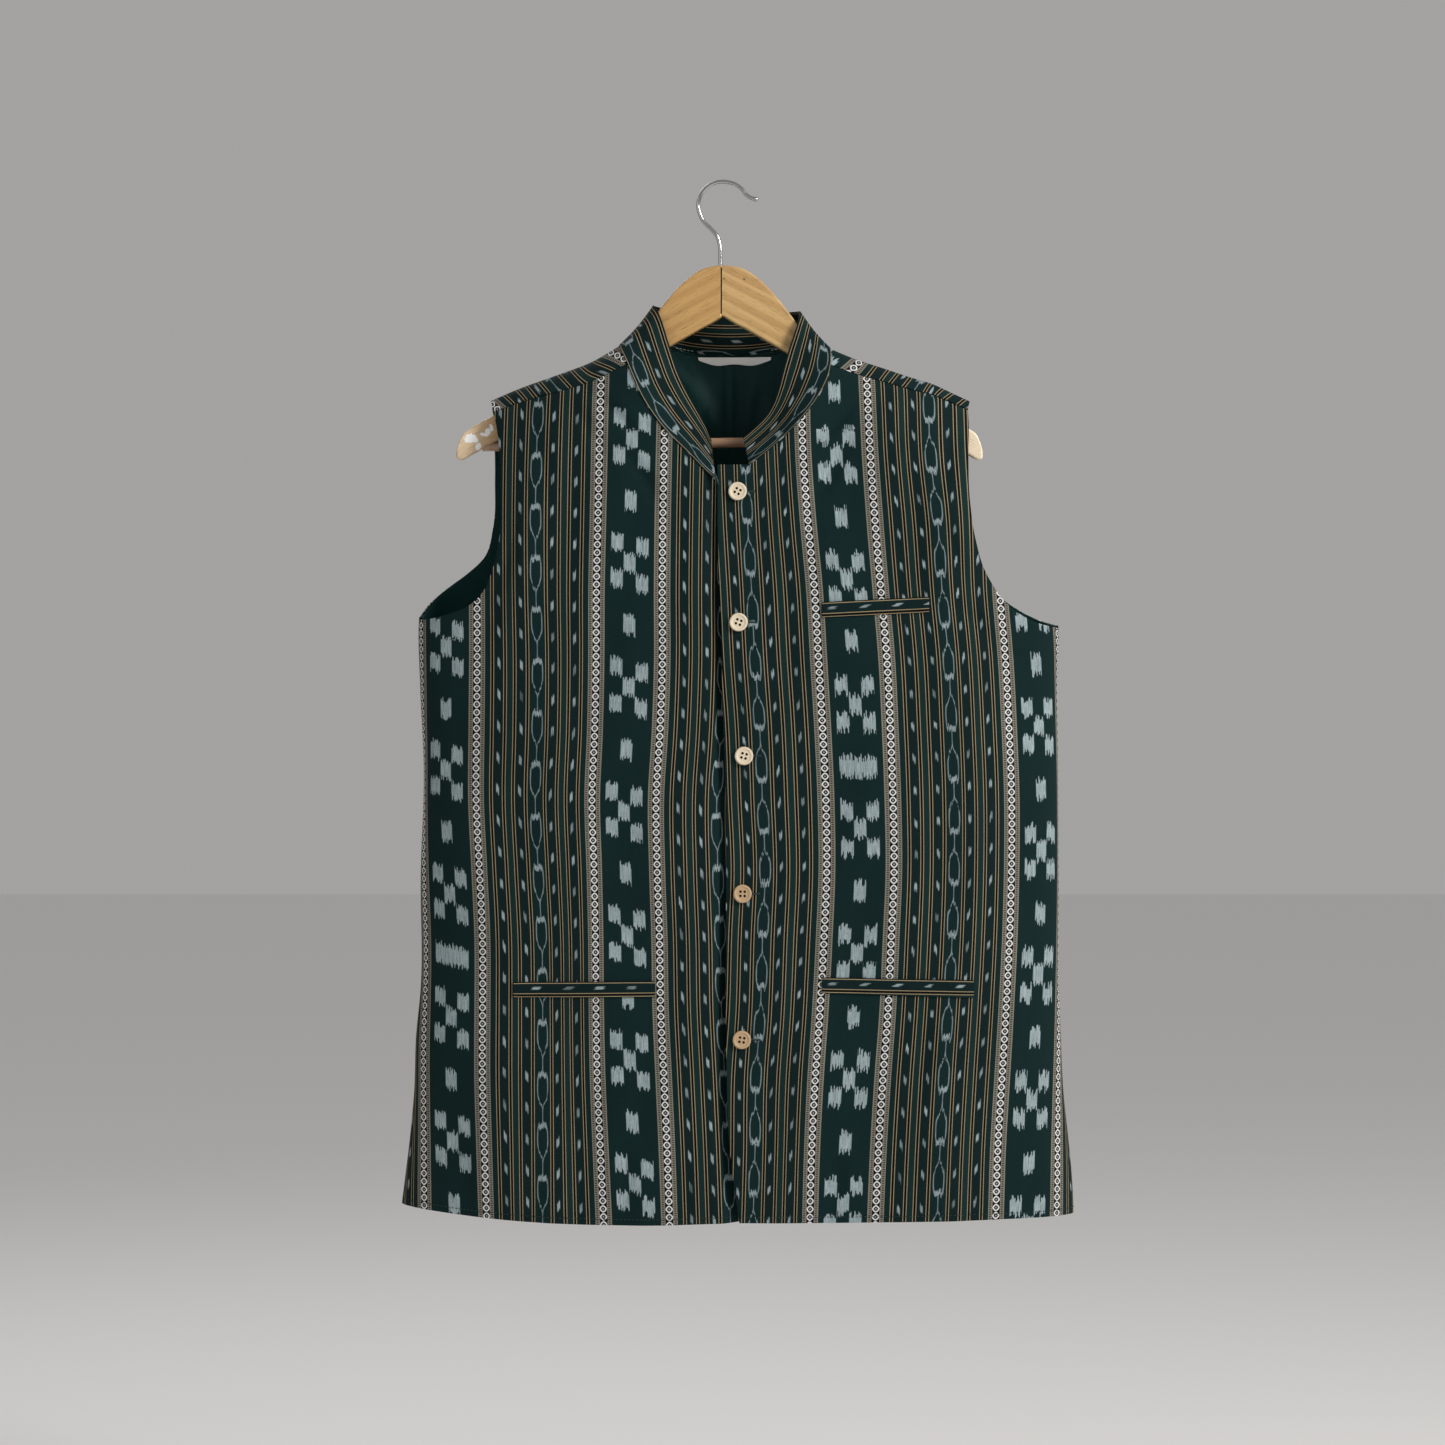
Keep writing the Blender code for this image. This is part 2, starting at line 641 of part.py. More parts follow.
def make_lining():
    """The back's lining, a little shorter than the back. Every other row of the back is enough low down."""
    inset = LINING_INSET
    stations = np.array(BACK_STATIONS[:-8:2] + BACK_STATIONS[-7:] + (4.0,))
    across, along, present = back_grid(stations, inset, LINING_SHORTER)
    first = len(eased(BACK_SIDE_COLUMNS)) - 1
    neck = slice(first, first + BACK_NECK_COLUMNS + 1)
    along[:, neck] -= LINING_BELOW_SEAM * smoothstep(stations - 3)[:, None]
    present[stations > LINING_SHOULDER_STATION, : neck.start + 1] = False
    present[stations > LINING_SHOULDER_STATION, neck.stop - 1 :] = False
    points = over_shoulder(across, along, inset)
    obj = add_object("back_lining", panel_mesh("back_lining", points, present, flip=True), "lining")
    add_wall(obj, LINING_WALL)


def collar_point_rows():
    """The collar's seam and top edge as two smooth curves sampled alike."""
    rows = np.arange(len(COLLAR))
    samples = np.linspace(0, len(COLLAR) - 1, COLLAR_SAMPLES)
    ridge = ridge_at(collar["across"])
    up = np.minimum(collar["up"], ridge)
    front = sheet_depth(FRONT, collar["across"], up)
    back = sheet_depth(BACK, collar["across"], up)
    depth = np.where(collar["face"] == FRONT, front, back)
    seam = np.stack([smooth(rows, values, samples) for values in (collar["across"], depth, up)], -1)
    top_names = ("top_across", "top_depth", "top_up")
    top = np.stack([smooth(rows, collar[name], samples) for name in top_names], -1)
    return seam, top


def make_collar():
    seam, top = collar_point_rows()
    rise = top - seam
    height = np.linalg.norm(rise, axis=-1, keepdims=True)
    start = seam + rise / height * COLLAR_LIFT
    weights = np.linspace(0, 1, COLLAR_ROWS + 1)[:, None, None]
    run = np.gradient(seam, axis=0)
    outward = np.cross(run, rise)
    outward /= np.linalg.norm(outward, axis=-1, keepdims=True)
    points = start * (1 - weights) + top * weights + outward * COLLAR_BULGE * np.sin(math.pi * weights)
    present = np.ones(points.shape[:2], bool)
    obj = add_object("collar", panel_mesh("collar", points, present), "cloth")
    add_wall(obj, COLLAR_WALL, 0.0)


def make_welts():
    weights = np.linspace(0, 1, WELT_SAMPLES + 1)
    for row in WELTS:
        welt = dict(zip(WELT_COLUMNS, row))
        across = welt["left"] * (1 - weights) + welt["right"] * weights
        low = welt["left_up"] * (1 - weights) + welt["right_up"] * weights
        height = welt["left_height"] * (1 - weights) + welt["right_height"] * weights
        up = np.stack([low, low + height])
        points = on_front(np.stack([across, across]), up, LAID_GAP)
        mesh = panel_mesh(welt["name"], points, np.ones(up.shape, bool))
        obj = add_object(welt["name"], mesh, "cloth")
        add_wall(obj, WELT_WALL, 1.0)


def make_label():
    inset = LABEL_INSET
    weights = np.linspace(0, 1, LABEL_SAMPLES + 1)
    across = LABEL_LEFT * (1 - weights) + LABEL_RIGHT * weights
    low = LABEL_TOP - LABEL_DROP - LABEL_WAVE * np.sin(2 * math.pi * weights) ** 2
    up = np.stack([low, np.full_like(low, LABEL_TOP)])
    points = over_shoulder(np.stack([across, across]), up, inset)
    obj = add_object("neck_label", panel_mesh("neck_label", points, np.ones(up.shape, bool), flip=True), "label")
    add_wall(obj, LABEL_WALL)


def difference(obj, cutter):
    cut = obj.modifiers.new("Cut", "BOOLEAN")
    cut.operation = "DIFFERENCE"
    cut.object = cutter


def add_cutter(name, mesh):
    cutter = bpy.data.objects.new(name, mesh)
    cutter.hide_render = True
    cutter.display_type = "WIRE"
    bpy.data.collections[CUTTERS_NAME].objects.link(cutter)
    return cutter


def cylinder_mesh(name, radius, length, sides, axis="Z", middle=(0, 0, 0)):
    """A closed cylinder in millimetres, along one axis."""
    mesh = bpy.data.meshes.new(name)
    work = bmesh.new()
    bmesh.ops.create_cone(
        work, cap_ends=True, segments=sides, radius1=radius * MM, radius2=radius * MM, depth=length * MM
    )
    if axis == "X":
        bmesh.ops.rotate(work, verts=work.verts, matrix=Matrix.Rotation(math.pi / 2, 3, "Y"))
    bmesh.ops.translate(work, verts=work.verts, vec=Vector(middle) * MM)
    work.to_mesh(mesh)
    work.free()
    return mesh


def make_button_mesh():
    """A round button with a dished face and four holes. Its back lies at Z 0 and its face looks up."""
    mesh = bpy.data.meshes.new("button")
    work = bmesh.new()
    angles = np.arange(BUTTON_SIDES) * 2 * math.pi / BUTTON_SIDES
    profile = (
        (BUTTON_RADIUS - BUTTON_EDGE, 0.0),
        (BUTTON_RADIUS, BUTTON_EDGE),
        (BUTTON_RADIUS, BUTTON_THICKNESS - BUTTON_EDGE),
        (BUTTON_RADIUS - BUTTON_EDGE, BUTTON_THICKNESS),
        (BUTTON_DISH_RADIUS + BUTTON_DISH_SLOPE, BUTTON_THICKNESS),
        (BUTTON_DISH_RADIUS, BUTTON_THICKNESS - BUTTON_DISH_DEPTH),
    )
    rings = []
    for radius, height in profile:
        places = [Vector((radius * math.cos(a), radius * math.sin(a), height)) * MM for a in angles]
        rings.append([work.verts.new(place) for place in places])
    for low, high in zip(rings, rings[1:]):
        for i in range(BUTTON_SIDES):
            j = (i + 1) % BUTTON_SIDES
            work.faces.new((low[i], low[j], high[j], high[i]))
    work.faces.new(rings[0][::-1])
    work.faces.new(rings[-1])
    work.to_mesh(mesh)
    work.free()
    return mesh


def make_buttons():
    """Each button sits on the overlapping front and looks along its normal."""
    table = columns(BUTTON_COLUMNS, BUTTONS)
    seats = on_front(table["across"], table["up"], LAID_GAP)
    faces = on_front(table["across"], table["up"], LAID_GAP + BUTTON_THICKNESS)
    shape = make_button_mesh()
    shape.materials.append(bpy.data.materials["button"])
    hole_angles = [math.radians(BUTTON_HOLE_TURN + 90 * i) for i in range(4)]
    cutters = []
    for i, angle in enumerate(hole_angles):
        middle = (BUTTON_HOLE_REACH * math.cos(angle), BUTTON_HOLE_REACH * math.sin(angle), BUTTON_THICKNESS / 2)
        mesh = cylinder_mesh("hole", BUTTON_HOLE_RADIUS, BUTTON_THICKNESS * 2, BUTTON_HOLE_SIDES, "Z", middle)
        cutters.append(add_cutter(f"button_hole_{i + 1}", mesh))
    blank = bpy.data.objects.new("button_blank", shape)
    bpy.data.collections[CUTTERS_NAME].objects.link(blank)
    for cutter in cutters:
        difference(blank, cutter)
    bpy.context.view_layer.update()
    evaluated = blank.evaluated_get(bpy.context.evaluated_depsgraph_get())
    drilled = bpy.data.meshes.new_from_object(evaluated)
    for obj in [blank, *cutters]:
        bpy.data.objects.remove(obj)
    for i, (seat, face) in enumerate(zip(seats, faces)):
        mesh = drilled.copy()
        turn = Vector(face - seat).to_track_quat("Z", "Y").to_matrix().to_4x4()
        obj = bpy.data.objects.new(f"button_{i + 1}", mesh)
        obj.matrix_world = Matrix.Translation(Vector(seat) * MM) @ turn
        bpy.data.collections[COLLECTION_NAME].objects.link(obj)


def make_arm(name, side, cutters):
    """A flat wooden arm: a surface between its top and bottom edges, with thickness and rounded edges."""
    across = HANGER_MIDDLE + side * arm["distance"]
    across[0] = MITRE + side * SEAM_GAP / 2
    points = np.stack(
        [
            np.stack([across, np.zeros_like(across), arm["bottom"]], -1),
            np.stack([across, np.zeros_like(across), arm["top"]], -1),
        ]
    )
    if side < 0:
        points = points[:, ::-1]
    obj = add_object(name, panel_mesh(name, points, np.ones(points.shape[:2], bool)), "wood")
    add_wall(obj, ARM_THICKNESS, 0.0)
    rounding = obj.modifiers.new("Rounded edges", "BEVEL")
    rounding.width = ARM_BEVEL * MM
    rounding.segments = 2
    rounding.limit_method = "ANGLE"
    rounding.angle_limit = math.radians(ARM_CREASE)
    for cutter in cutters:
        difference(obj, cutter)


def make_hanger():
    """Two arms with a mitre joint, a bar between them and the hook's hole at the top."""
    hole_bottom = arm["top"][0] - HOOK_HOLE_DEPTH
    hole_top = arm["top"][0] + HOOK_HOLE_ABOVE
    hole_middle = (hook["across"][0], 0, (hole_bottom + hole_top) / 2)
    hole_radius = WIRE_RADIUS + HOOK_HOLE_CLEARANCE
    hole = cylinder_mesh("hook_hole", hole_radius, hole_top - hole_bottom, WIRE_SIDES, "Z", hole_middle)
    hook_hole = add_cutter("hook_hole", hole)
    for name, side in (("left", -1), ("right", 1)):
        start, end = SOCKET_MOUTH, BAR_END + SOCKET_END_CLEARANCE
        middle = (HANGER_MIDDLE + side * (start + end) / 2, 0, BAR_UP)
        mesh = cylinder_mesh(f"socket_{name}", BAR_RADIUS + SOCKET_CLEARANCE, end - start, BAR_SIDES, "X", middle)
        make_arm(f"hanger_arm_{name}", side, [hook_hole, add_cutter(f"socket_{name}", mesh)])
    bar = cylinder_mesh("hanger_bar", BAR_RADIUS, 2 * BAR_END, BAR_SIDES, "X", (HANGER_MIDDLE, 0, BAR_UP))
    add_object("hanger_bar", bar, "wood")


def make_hook():
    """A bent wire that swells to a ball at its tip: a curve with a bevel."""
    rows = np.arange(len(HOOK))
    samples = np.linspace(0, len(HOOK) - 1, (len(HOOK) - 1) * HOOK_STEPS + 1)
    across = smooth(rows, hook["across"], samples)
    up = smooth(rows, hook["up"], samples)
    path = [Vector((x, 0, z)) for x, z in zip(across, up)]
    radii = [WIRE_RADIUS] * len(path)
    heading = (path[-1] - path[-2]).normalized()
    neck = math.sqrt(BALL_RADIUS**2 - WIRE_RADIUS**2)
    for i in range(1, BALL_STEPS + 1):
        place = -neck + (BALL_RADIUS * BALL_CUT + neck) * i / BALL_STEPS
        radii.append(math.sqrt(BALL_RADIUS**2 - place**2))
        path.append(path[len(across) - 1] + heading * (place + neck))
    curve = bpy.data.curves.new("hanger_hook", "CURVE")
    curve.dimensions = "3D"
    curve.bevel_depth = WIRE_RADIUS * MM
    curve.bevel_resolution = 2
    curve.use_fill_caps = True
    spline = curve.splines.new("POLY")
    spline.points.add(len(path) - 1)
    for point, place, radius in zip(spline.points, path, radii):
        point.co = (*(place * MM), 1)
        point.radius = radius / WIRE_RADIUS
    obj = bpy.data.objects.new("hanger_hook", curve)
    obj.data.materials.append(bpy.data.materials["chrome"])
    bpy.data.collections[COLLECTION_NAME].objects.link(obj)


def make_materials():
    for name, (colour, roughness, metallic) in MATERIALS.items():
        material = bpy.data.materials.new(name)
        material.use_nodes = True
        shader = material.node_tree.nodes["Principled BSDF"]
        shader.inputs["Base Color"].default_value = (*colour, 1)
        shader.inputs["Roughness"].default_value = roughness
        shader.inputs["Metallic"].default_value = metallic


def main():
    for obj in list(bpy.data.objects):
        bpy.data.objects.remove(obj)
    for name in (COLLECTION_NAME, CUTTERS_NAME):
        bpy.context.scene.collection.children.link(bpy.data.collections.new(name))
    make_materials()
    make_fronts()
    make_back()
    make_lining()
    make_collar()
    make_label()
    make_welts()
    make_buttons()
    make_hanger()
    make_hook()


main()
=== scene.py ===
# %% [markdown]
# A sleeveless band-collar jacket of striped ikat cloth hangs on a wooden hanger.
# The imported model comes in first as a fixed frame. The cloth is then made again over its solids as fine
# shells, which follow the same formula and add the small creases that coarse solids leave out.
# Tables are in millimetres. X runs to the viewer's right, Y away from the viewer and Z up, and the
# origin is the point under the hook's crown where a rail holds it.

# %% Load the frame
import math

import bpy
import numpy as np
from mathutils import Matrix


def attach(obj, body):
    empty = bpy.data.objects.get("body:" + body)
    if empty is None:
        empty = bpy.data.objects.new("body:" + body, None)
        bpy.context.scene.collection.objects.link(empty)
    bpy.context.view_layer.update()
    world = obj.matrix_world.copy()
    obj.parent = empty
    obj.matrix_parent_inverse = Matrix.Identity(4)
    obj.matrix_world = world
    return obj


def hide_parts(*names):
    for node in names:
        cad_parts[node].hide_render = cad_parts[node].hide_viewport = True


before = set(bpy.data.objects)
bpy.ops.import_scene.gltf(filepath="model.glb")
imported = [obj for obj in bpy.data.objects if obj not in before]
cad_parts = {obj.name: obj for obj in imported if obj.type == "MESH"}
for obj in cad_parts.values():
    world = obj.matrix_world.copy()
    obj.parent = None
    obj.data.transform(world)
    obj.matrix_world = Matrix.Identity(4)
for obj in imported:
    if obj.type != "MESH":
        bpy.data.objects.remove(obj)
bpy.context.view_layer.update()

MM = 0.001
print("nodes in the frame:", len(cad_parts))

# %% [markdown]
# The camera stands 3.2 m in front of the jacket, level, and looks at the middle of the picture.
# The floor is plain and pale and lies well below the hem. One soft light stands at the right, weaker
# ones stand at the left and behind, and a pale sky fills the shadows.

# %% Camera, floor and light
CAMERA_AWAY, VIEW_WIDTH = 3.2, 1.2202
VIEW_MIDDLE = (0.00127, -0.4547)
FLOOR_UP = -1.28
FLOOR_SIZE = 30.0
FLOOR_COLOUR = (0.90, 0.89, 0.88)

camera = bpy.data.objects.new("camera", bpy.data.cameras.new("camera"))
camera.location = (VIEW_MIDDLE[0], -CAMERA_AWAY, VIEW_MIDDLE[1])
camera.rotation_euler = (math.pi / 2, 0, 0)
camera.data.angle = 2 * math.atan(VIEW_WIDTH / 2 / CAMERA_AWAY)
bpy.context.scene.collection.objects.link(camera)
bpy.context.scene.camera = camera

LIGHTS = (
    ("key", (2.3, -1.7, 1.0), 1.0, 88, (1.0, 0.98, 0.95)),
    ("fill", (-2.2, -2.2, 0.1), 1.8, 7, (0.96, 0.98, 1.0)),
    ("rim", (-0.9, 2.0, 1.2), 1.2, 12, (1.0, 1.0, 1.0)),
)
LIT_PLACE = (0, 0, -0.45)
SKY_COLOUR, SKY_STRENGTH = (0.80, 0.79, 0.78), 0.46

for name, place, size, power, colour in LIGHTS:
    lamp = bpy.data.lights.new(name, "AREA")
    lamp.size, lamp.energy, lamp.color = size, power, colour
    holder = bpy.data.objects.new(name, lamp)
    holder.location = place
    x, y, z = np.subtract(LIT_PLACE, place)
    holder.rotation_euler = [math.pi / 2 + math.atan2(z, math.hypot(x, y)), 0, math.atan2(-x, y)]
    bpy.context.scene.collection.objects.link(holder)

world = bpy.data.worlds.new("pale sky")
world.use_nodes = True
background = world.node_tree.nodes["Background"]
background.inputs["Color"].default_value = (*SKY_COLOUR, 1)
background.inputs["Strength"].default_value = SKY_STRENGTH
bpy.context.scene.world = world
bpy.context.scene.view_settings.view_transform = "Standard"
print("camera's field of view in degrees:", round(math.degrees(camera.data.angle), 2))

# %% [markdown]
# The body is a flattened tube. Across each height its front and back are halves of a superellipse,
# and towards the shoulder each sheet curves in like a quarter of an ellipse until it meets the ridge.
# A few short tables hold the outline, and smooth curves run through them.

# %% Tables of the form
BODY_COLUMNS = ("up", "left", "right", "front", "back")
BODY = (
    (-880, -272.0, 298.0, 50, 45),
    (-841, -267.0, 296.5, 50, 44),
    (-799, -262.0, 292.5, 49, 43),
    (-765, -259.0, 289.0, 48, 42),
    (-720, -257.5, 287.0, 47, 42),
    (-678, -253.5, 285.5, 46, 42),
    (-583, -253.5, 285.0, 46, 42),
    (-494, -251.0, 284.5, 46, 42),
    (-425, -254.0, 284.0, 45, 42),
    (-367, -255.0, 284.5, 44, 42),
    (-300, -245.0, 272.0, 42, 42),
    (-250, -234.0, 259.0, 41, 42),
    (-190, -222.0, 241.0, 40, 43),
    (-100, -214.0, 230.0, 40, 45),
)
SIDE_POWER = 4.0
SHOULDER_ROUNDING = 75.0
SIDE_GAP = 0.35
FRONT, BACK = -1, 1
RIDGE_COLUMNS = ("across", "up")
RIDGE = (
    (-230.0, -200.0),
    (-194.2, -183.2),
    (-168.4, -172.2),
    (-148.6, -165.1),
    (-128.3, -157.9),
    (-108.9, -150.3),
    (-84.7, -136.2),
    (-50.0, -117.0),
    (0.0, -101.0),
    (50.0, -117.0),
    (90.8, -138.5),
    (110.6, -146.9),
    (138.5, -156.2),
    (158.8, -163.0),
    (178.2, -168.9),
    (198.4, -178.2),
    (245.0, -200.0),
)
COLLAR_COLUMNS = ("face", "across", "up", "top_across", "top_depth", "top_up")
COLLAR = (
    (FRONT, -4.6, -252.0, -8.0, -33.0, -219.0),
    (FRONT, -15.0, -242.4, -12.4, -30.0, -208.0),
    (FRONT, -27.5, -229.6, -18.5, -28.0, -196.5),
    (FRONT, -42.5, -214.9, -25.5, -26.0, -183.5),
    (FRONT, -55.1, -199.7, -31.5, -23.5, -171.5),
    (FRONT, -65.8, -183.0, -37.0, -20.5, -158.5),
    (FRONT, -73.0, -167.0, -41.0, -17.5, -146.0),
    (FRONT, -78.4, -153.6, -45.0, -14.0, -133.0),
    (FRONT, -82.6, -143.6, -49.4, -11.5, -118.0),
    (FRONT, -84.3, -138.9, -53.2, -8.4, -108.5),
    (BACK, -84.7, -136.4, -56.4, 0.5, -103.2),
    (BACK, -74.0, -134.2, -53.5, 14.0, -102.5),
    (BACK, -48.0, -135.2, -40.0, 29.0, -103.5),
    (BACK, -22.0, -139.4, -20.0, 39.0, -105.5),
    (BACK, 3.0, -141.2, 3.0, 42.5, -106.5),
    (BACK, 28.0, -140.4, 26.0, 39.0, -106.5),
    (BACK, 54.0, -137.4, 48.0, 29.0, -106.0),
    (BACK, 80.0, -136.4, 62.5, 14.0, -106.5),
    (BACK, 90.8, -138.7, 66.4, 0.5, -108.4),
    (FRONT, 91.6, -141.4, 65.6, -8.6, -114.0),
    (FRONT, 92.2, -146.6, 62.8, -11.5, -124.0),
    (FRONT, 92.0, -154.5, 58.0, -13.5, -138.5),
    (FRONT, 89.8, -164.8, 54.5, -16.5, -150.5),
    (FRONT, 84.8, -176.2, 51.5, -19.0, -162.0),
    (FRONT, 78.0, -187.6, 49.0, -21.0, -173.0),
    (FRONT, 67.6, -200.6, 45.0, -22.5, -186.0),
    (FRONT, 56.4, -212.6, 39.5, -24.0, -196.5),
    (FRONT, 45.0, -223.0, 33.0, -25.5, -204.0),
    (FRONT, 33.5, -232.4, 26.0, -27.0, -210.5),
    (FRONT, 23.4, -239.6, 18.6, -28.0, -217.0),
)
LEFT_SEAM_ROW, LEFT_RIDGE_ROW = 7, 10
RIGHT_RIDGE_ROW, RIGHT_SEAM_ROW = 18, 21
EDGE_COLUMNS = ("up", "across", "recess")
EDGE = (
    (-875, 16.0, 8.5),
    (-840, 10.8, 8.5),
    (-800, 6.6, 8.0),
    (-740, 4.6, 6.0),
    (-620, 4.2, 4.6),
    (-519, 4.0, 4.4),
    (-440, 1.4, 4.4),
    (-369, 0.0, 4.4),
    (-303, -2.4, 4.2),
    (-240, -2.9, 3.0),
)
STAND_WIDTH, UNDERLAP, UNDER_EDGE, RECESS_WIDTH = 26.3, 30.0, 1.4, 17.0
VALLEY_COLUMNS = ("up", "dip")
VALLEY = (
    (-875, 2.4),
    (-800, 4.6),
    (-740, 6.2),
    (-690, 7.8),
    (-620, 6.6),
    (-560, 3.8),
    (-519, 3.2),
    (-440, 5.8),
    (-369, 7.4),
    (-303, 4.2),
    (-240, 0.6),
)
VALLEY_WIDTH = 8.0
ARMHOLE_COLUMNS = ("station", "across", "up")
FRONT_ARMHOLE_LEFT = (
    (1.00, -255.0, -368.4),
    (1.10, -243.0, -367.4),
    (1.25, -226.2, -363.0),
    (1.40, -210.4, -356.6),
    (1.53, -199.0, -345.4),
    (1.66, -191.6, -329.0),
    (1.83, -185.8, -303.7),
    (2.15, -184.0, -264.0),
    (2.50, -185.3, -230.2),
    (2.80, -188.6, -204.6),
    (3.00, -191.6, -193.6),
)
FRONT_ARMHOLE_RIGHT = (
    (1.00, 284.8, -375.4),
    (1.12, 267.0, -371.6),
    (1.25, 250.0, -363.8),
    (1.38, 238.0, -353.8),
    (1.50, 228.4, -341.6),
    (1.62, 219.8, -326.0),
    (1.80, 212.5, -300.4),
    (2.05, 208.4, -272.0),
    (2.45, 207.0, -237.0),
    (2.80, 208.0, -207.0),
    (3.00, 207.6, -191.6),
)
BACK_ARMHOLE_LEFT = (
    (1.0, -255.0, -366.0),
    (1.2, -247.0, -354.0),
    (1.4, -233.0, -341.0),
    (1.6, -216.0, -328.0),
    (1.8, -201.8, -314.0),
    (2.1, -194.4, -288.0),
    (2.6, -192.8, -248.0),
    (3.2, -193.0, -212.0),
    (3.7, -193.8, -188.6),
    (4.0, -194.2, -183.2),
)
BACK_ARMHOLE_RIGHT = (
    (1.0, 284.8, -373.0),
    (1.2, 266.0, -366.0),
    (1.4, 246.0, -354.0),
    (1.6, 229.0, -338.0),
    (1.8, 217.0, -318.0),
    (2.1, 209.6, -288.0),
    (2.6, 207.0, -248.0),
    (3.2, 208.4, -212.0),
    (3.7, 209.4, -189.0),
    (4.0, 209.8, -183.4),
)
SEAM_END_LEFT, SEAM_END_RIGHT = (-191.6, -193.0), (207.6, -191.0)
HEM_LEFT, HEM_RIGHT, HEM_CENTRE = -860.0, -868.0, -871.0
HEM_SAG_LEFT, HEM_SAG_RIGHT, HEM_SAG_BACK = 6.5, 0.6, 3.0
# Across and up of each button's middle
BUTTONS = (
    (13.8, -262.0),
    (14.6, -371.2),
    (19.1, -482.5),
    (17.9, -597.2),
    (17.3, -718.7),
)


def columns(names, rows):
    """A table as named arrays."""
    return {name: np.array([row[i] for row in rows]) for i, name in enumerate(names)}


def records(names, rows):
    """A table as one dictionary for each row."""
    return [dict(zip(names, row)) for row in rows]


def smooth(stations, values, at):
    """A cubic curve through the values, which leaves each station with its neighbours' mean slope."""
    stations = np.asarray(stations, float)
    values = np.asarray(values, float)
    slopes = np.gradient(values, stations)
    at = np.clip(at, stations[0], stations[-1])
    i = np.clip(np.searchsorted(stations, at) - 1, 0, len(stations) - 2)
    span = stations[i + 1] - stations[i]
    t = (at - stations[i]) / span
    start = values[i] * (1 + 2 * t) * (1 - t) ** 2 + slopes[i] * span * t * (1 - t) ** 2
    end = values[i + 1] * (3 - 2 * t) * t**2 - slopes[i + 1] * span * t**2 * (1 - t)
    return start + end


def smoothstep(t):
    """0 below 0 and 1 above 1, with a soft rise between: t squared times 3 minus 2 t."""
    t = np.clip(t, 0.0, 1.0)
    return t * t * (3 - 2 * t)


body = columns(BODY_COLUMNS, BODY)
ridge_line = columns(RIDGE_COLUMNS, RIDGE)
collar = columns(COLLAR_COLUMNS, COLLAR)
edge = columns(EDGE_COLUMNS, EDGE)
valley = columns(VALLEY_COLUMNS, VALLEY)


def body_at(name, up):
    """One column of the body's outline at a height."""
    return smooth(body["up"], body[name], up)


def ridge_at(across):
    """The height of the shoulder ridge."""
    return smooth(ridge_line["across"], ridge_line["up"], across)


def overlap_edge(up):
    """Where the edge that laps over runs at a height."""
    return smooth(edge["up"], edge["across"], up)


print("rows of the body's outline:", len(BODY))

# %% [markdown]
# Hung cloth shows a few broad folds and many small creases. The broad ones are also in the solids.
# A crease is a trough with a lower ridge beside it. Its length, depth and lean are set one by one, most
# of them where the cloth is under strain: beside the collar, at the armholes, above the hem and at the
# edge that is buttoned. They fade out under the buttons, so that each button still lies on the cloth.

# %% Folds and creases
FOLD_COLUMNS = ("face", "across", "up", "lean", "length", "width", "rise")
FOLDS = (
    (FRONT, 108, -228, 24, 46, 19, -4.0),
    (FRONT, 133, -236, 14, 52, 19, 2.6),
    (FRONT, 184, -286, -4, 62, 19, 4.0),
    (FRONT, 160, -310, 4, 90, 19, -2.8),
    (FRONT, 244, -470, 3, 120, 19, -3.0),
    (FRONT, 214, -600, -2, 150, 22, 2.6),
    (FRONT, 232, -800, 2, 95, 22, -3.4),
    (FRONT, 185, -812, 1, 90, 22, 3.0),
    (FRONT, 118, -800, 3, 90, 20, -2.2),
    (FRONT, 60, -790, -2, 110, 22, 2.2),
    (FRONT, -160, -300, 6, 80, 19, 3.0),
    (FRONT, -118, -262, 16, 70, 19, -2.6),
    (FRONT, -226, -520, 2, 120, 19, -2.8),
    (FRONT, -198, -640, -3, 140, 22, 2.4),
    (FRONT, -232, -770, -5, 100, 19, -3.2),
    (FRONT, -190, -790, -4, 95, 22, 3.2),
    (FRONT, -110, -800, -2, 100, 20, -2.4),
    (FRONT, -42, -790, 1, 120, 19, 2.6),
    (BACK, -206, -470, -3, 120, 22, -3.0),
    (BACK, -120, -420, 8, 150, 22, 3.2),
    (BACK, -64, -760, -3, 120, 22, 3.6),
    (BACK, 12, -700, 0, 170, 19, -3.4),
    (BACK, 84, -770, 4, 110, 22, 3.6),
    (BACK, 150, -440, -7, 140, 22, 3.0),
    (BACK, 232, -560, 3, 140, 22, -3.0),
    (BACK, 190, -790, 2, 100, 22, -3.0),
    (BACK, -170, -790, -2, 100, 22, -3.2),
)
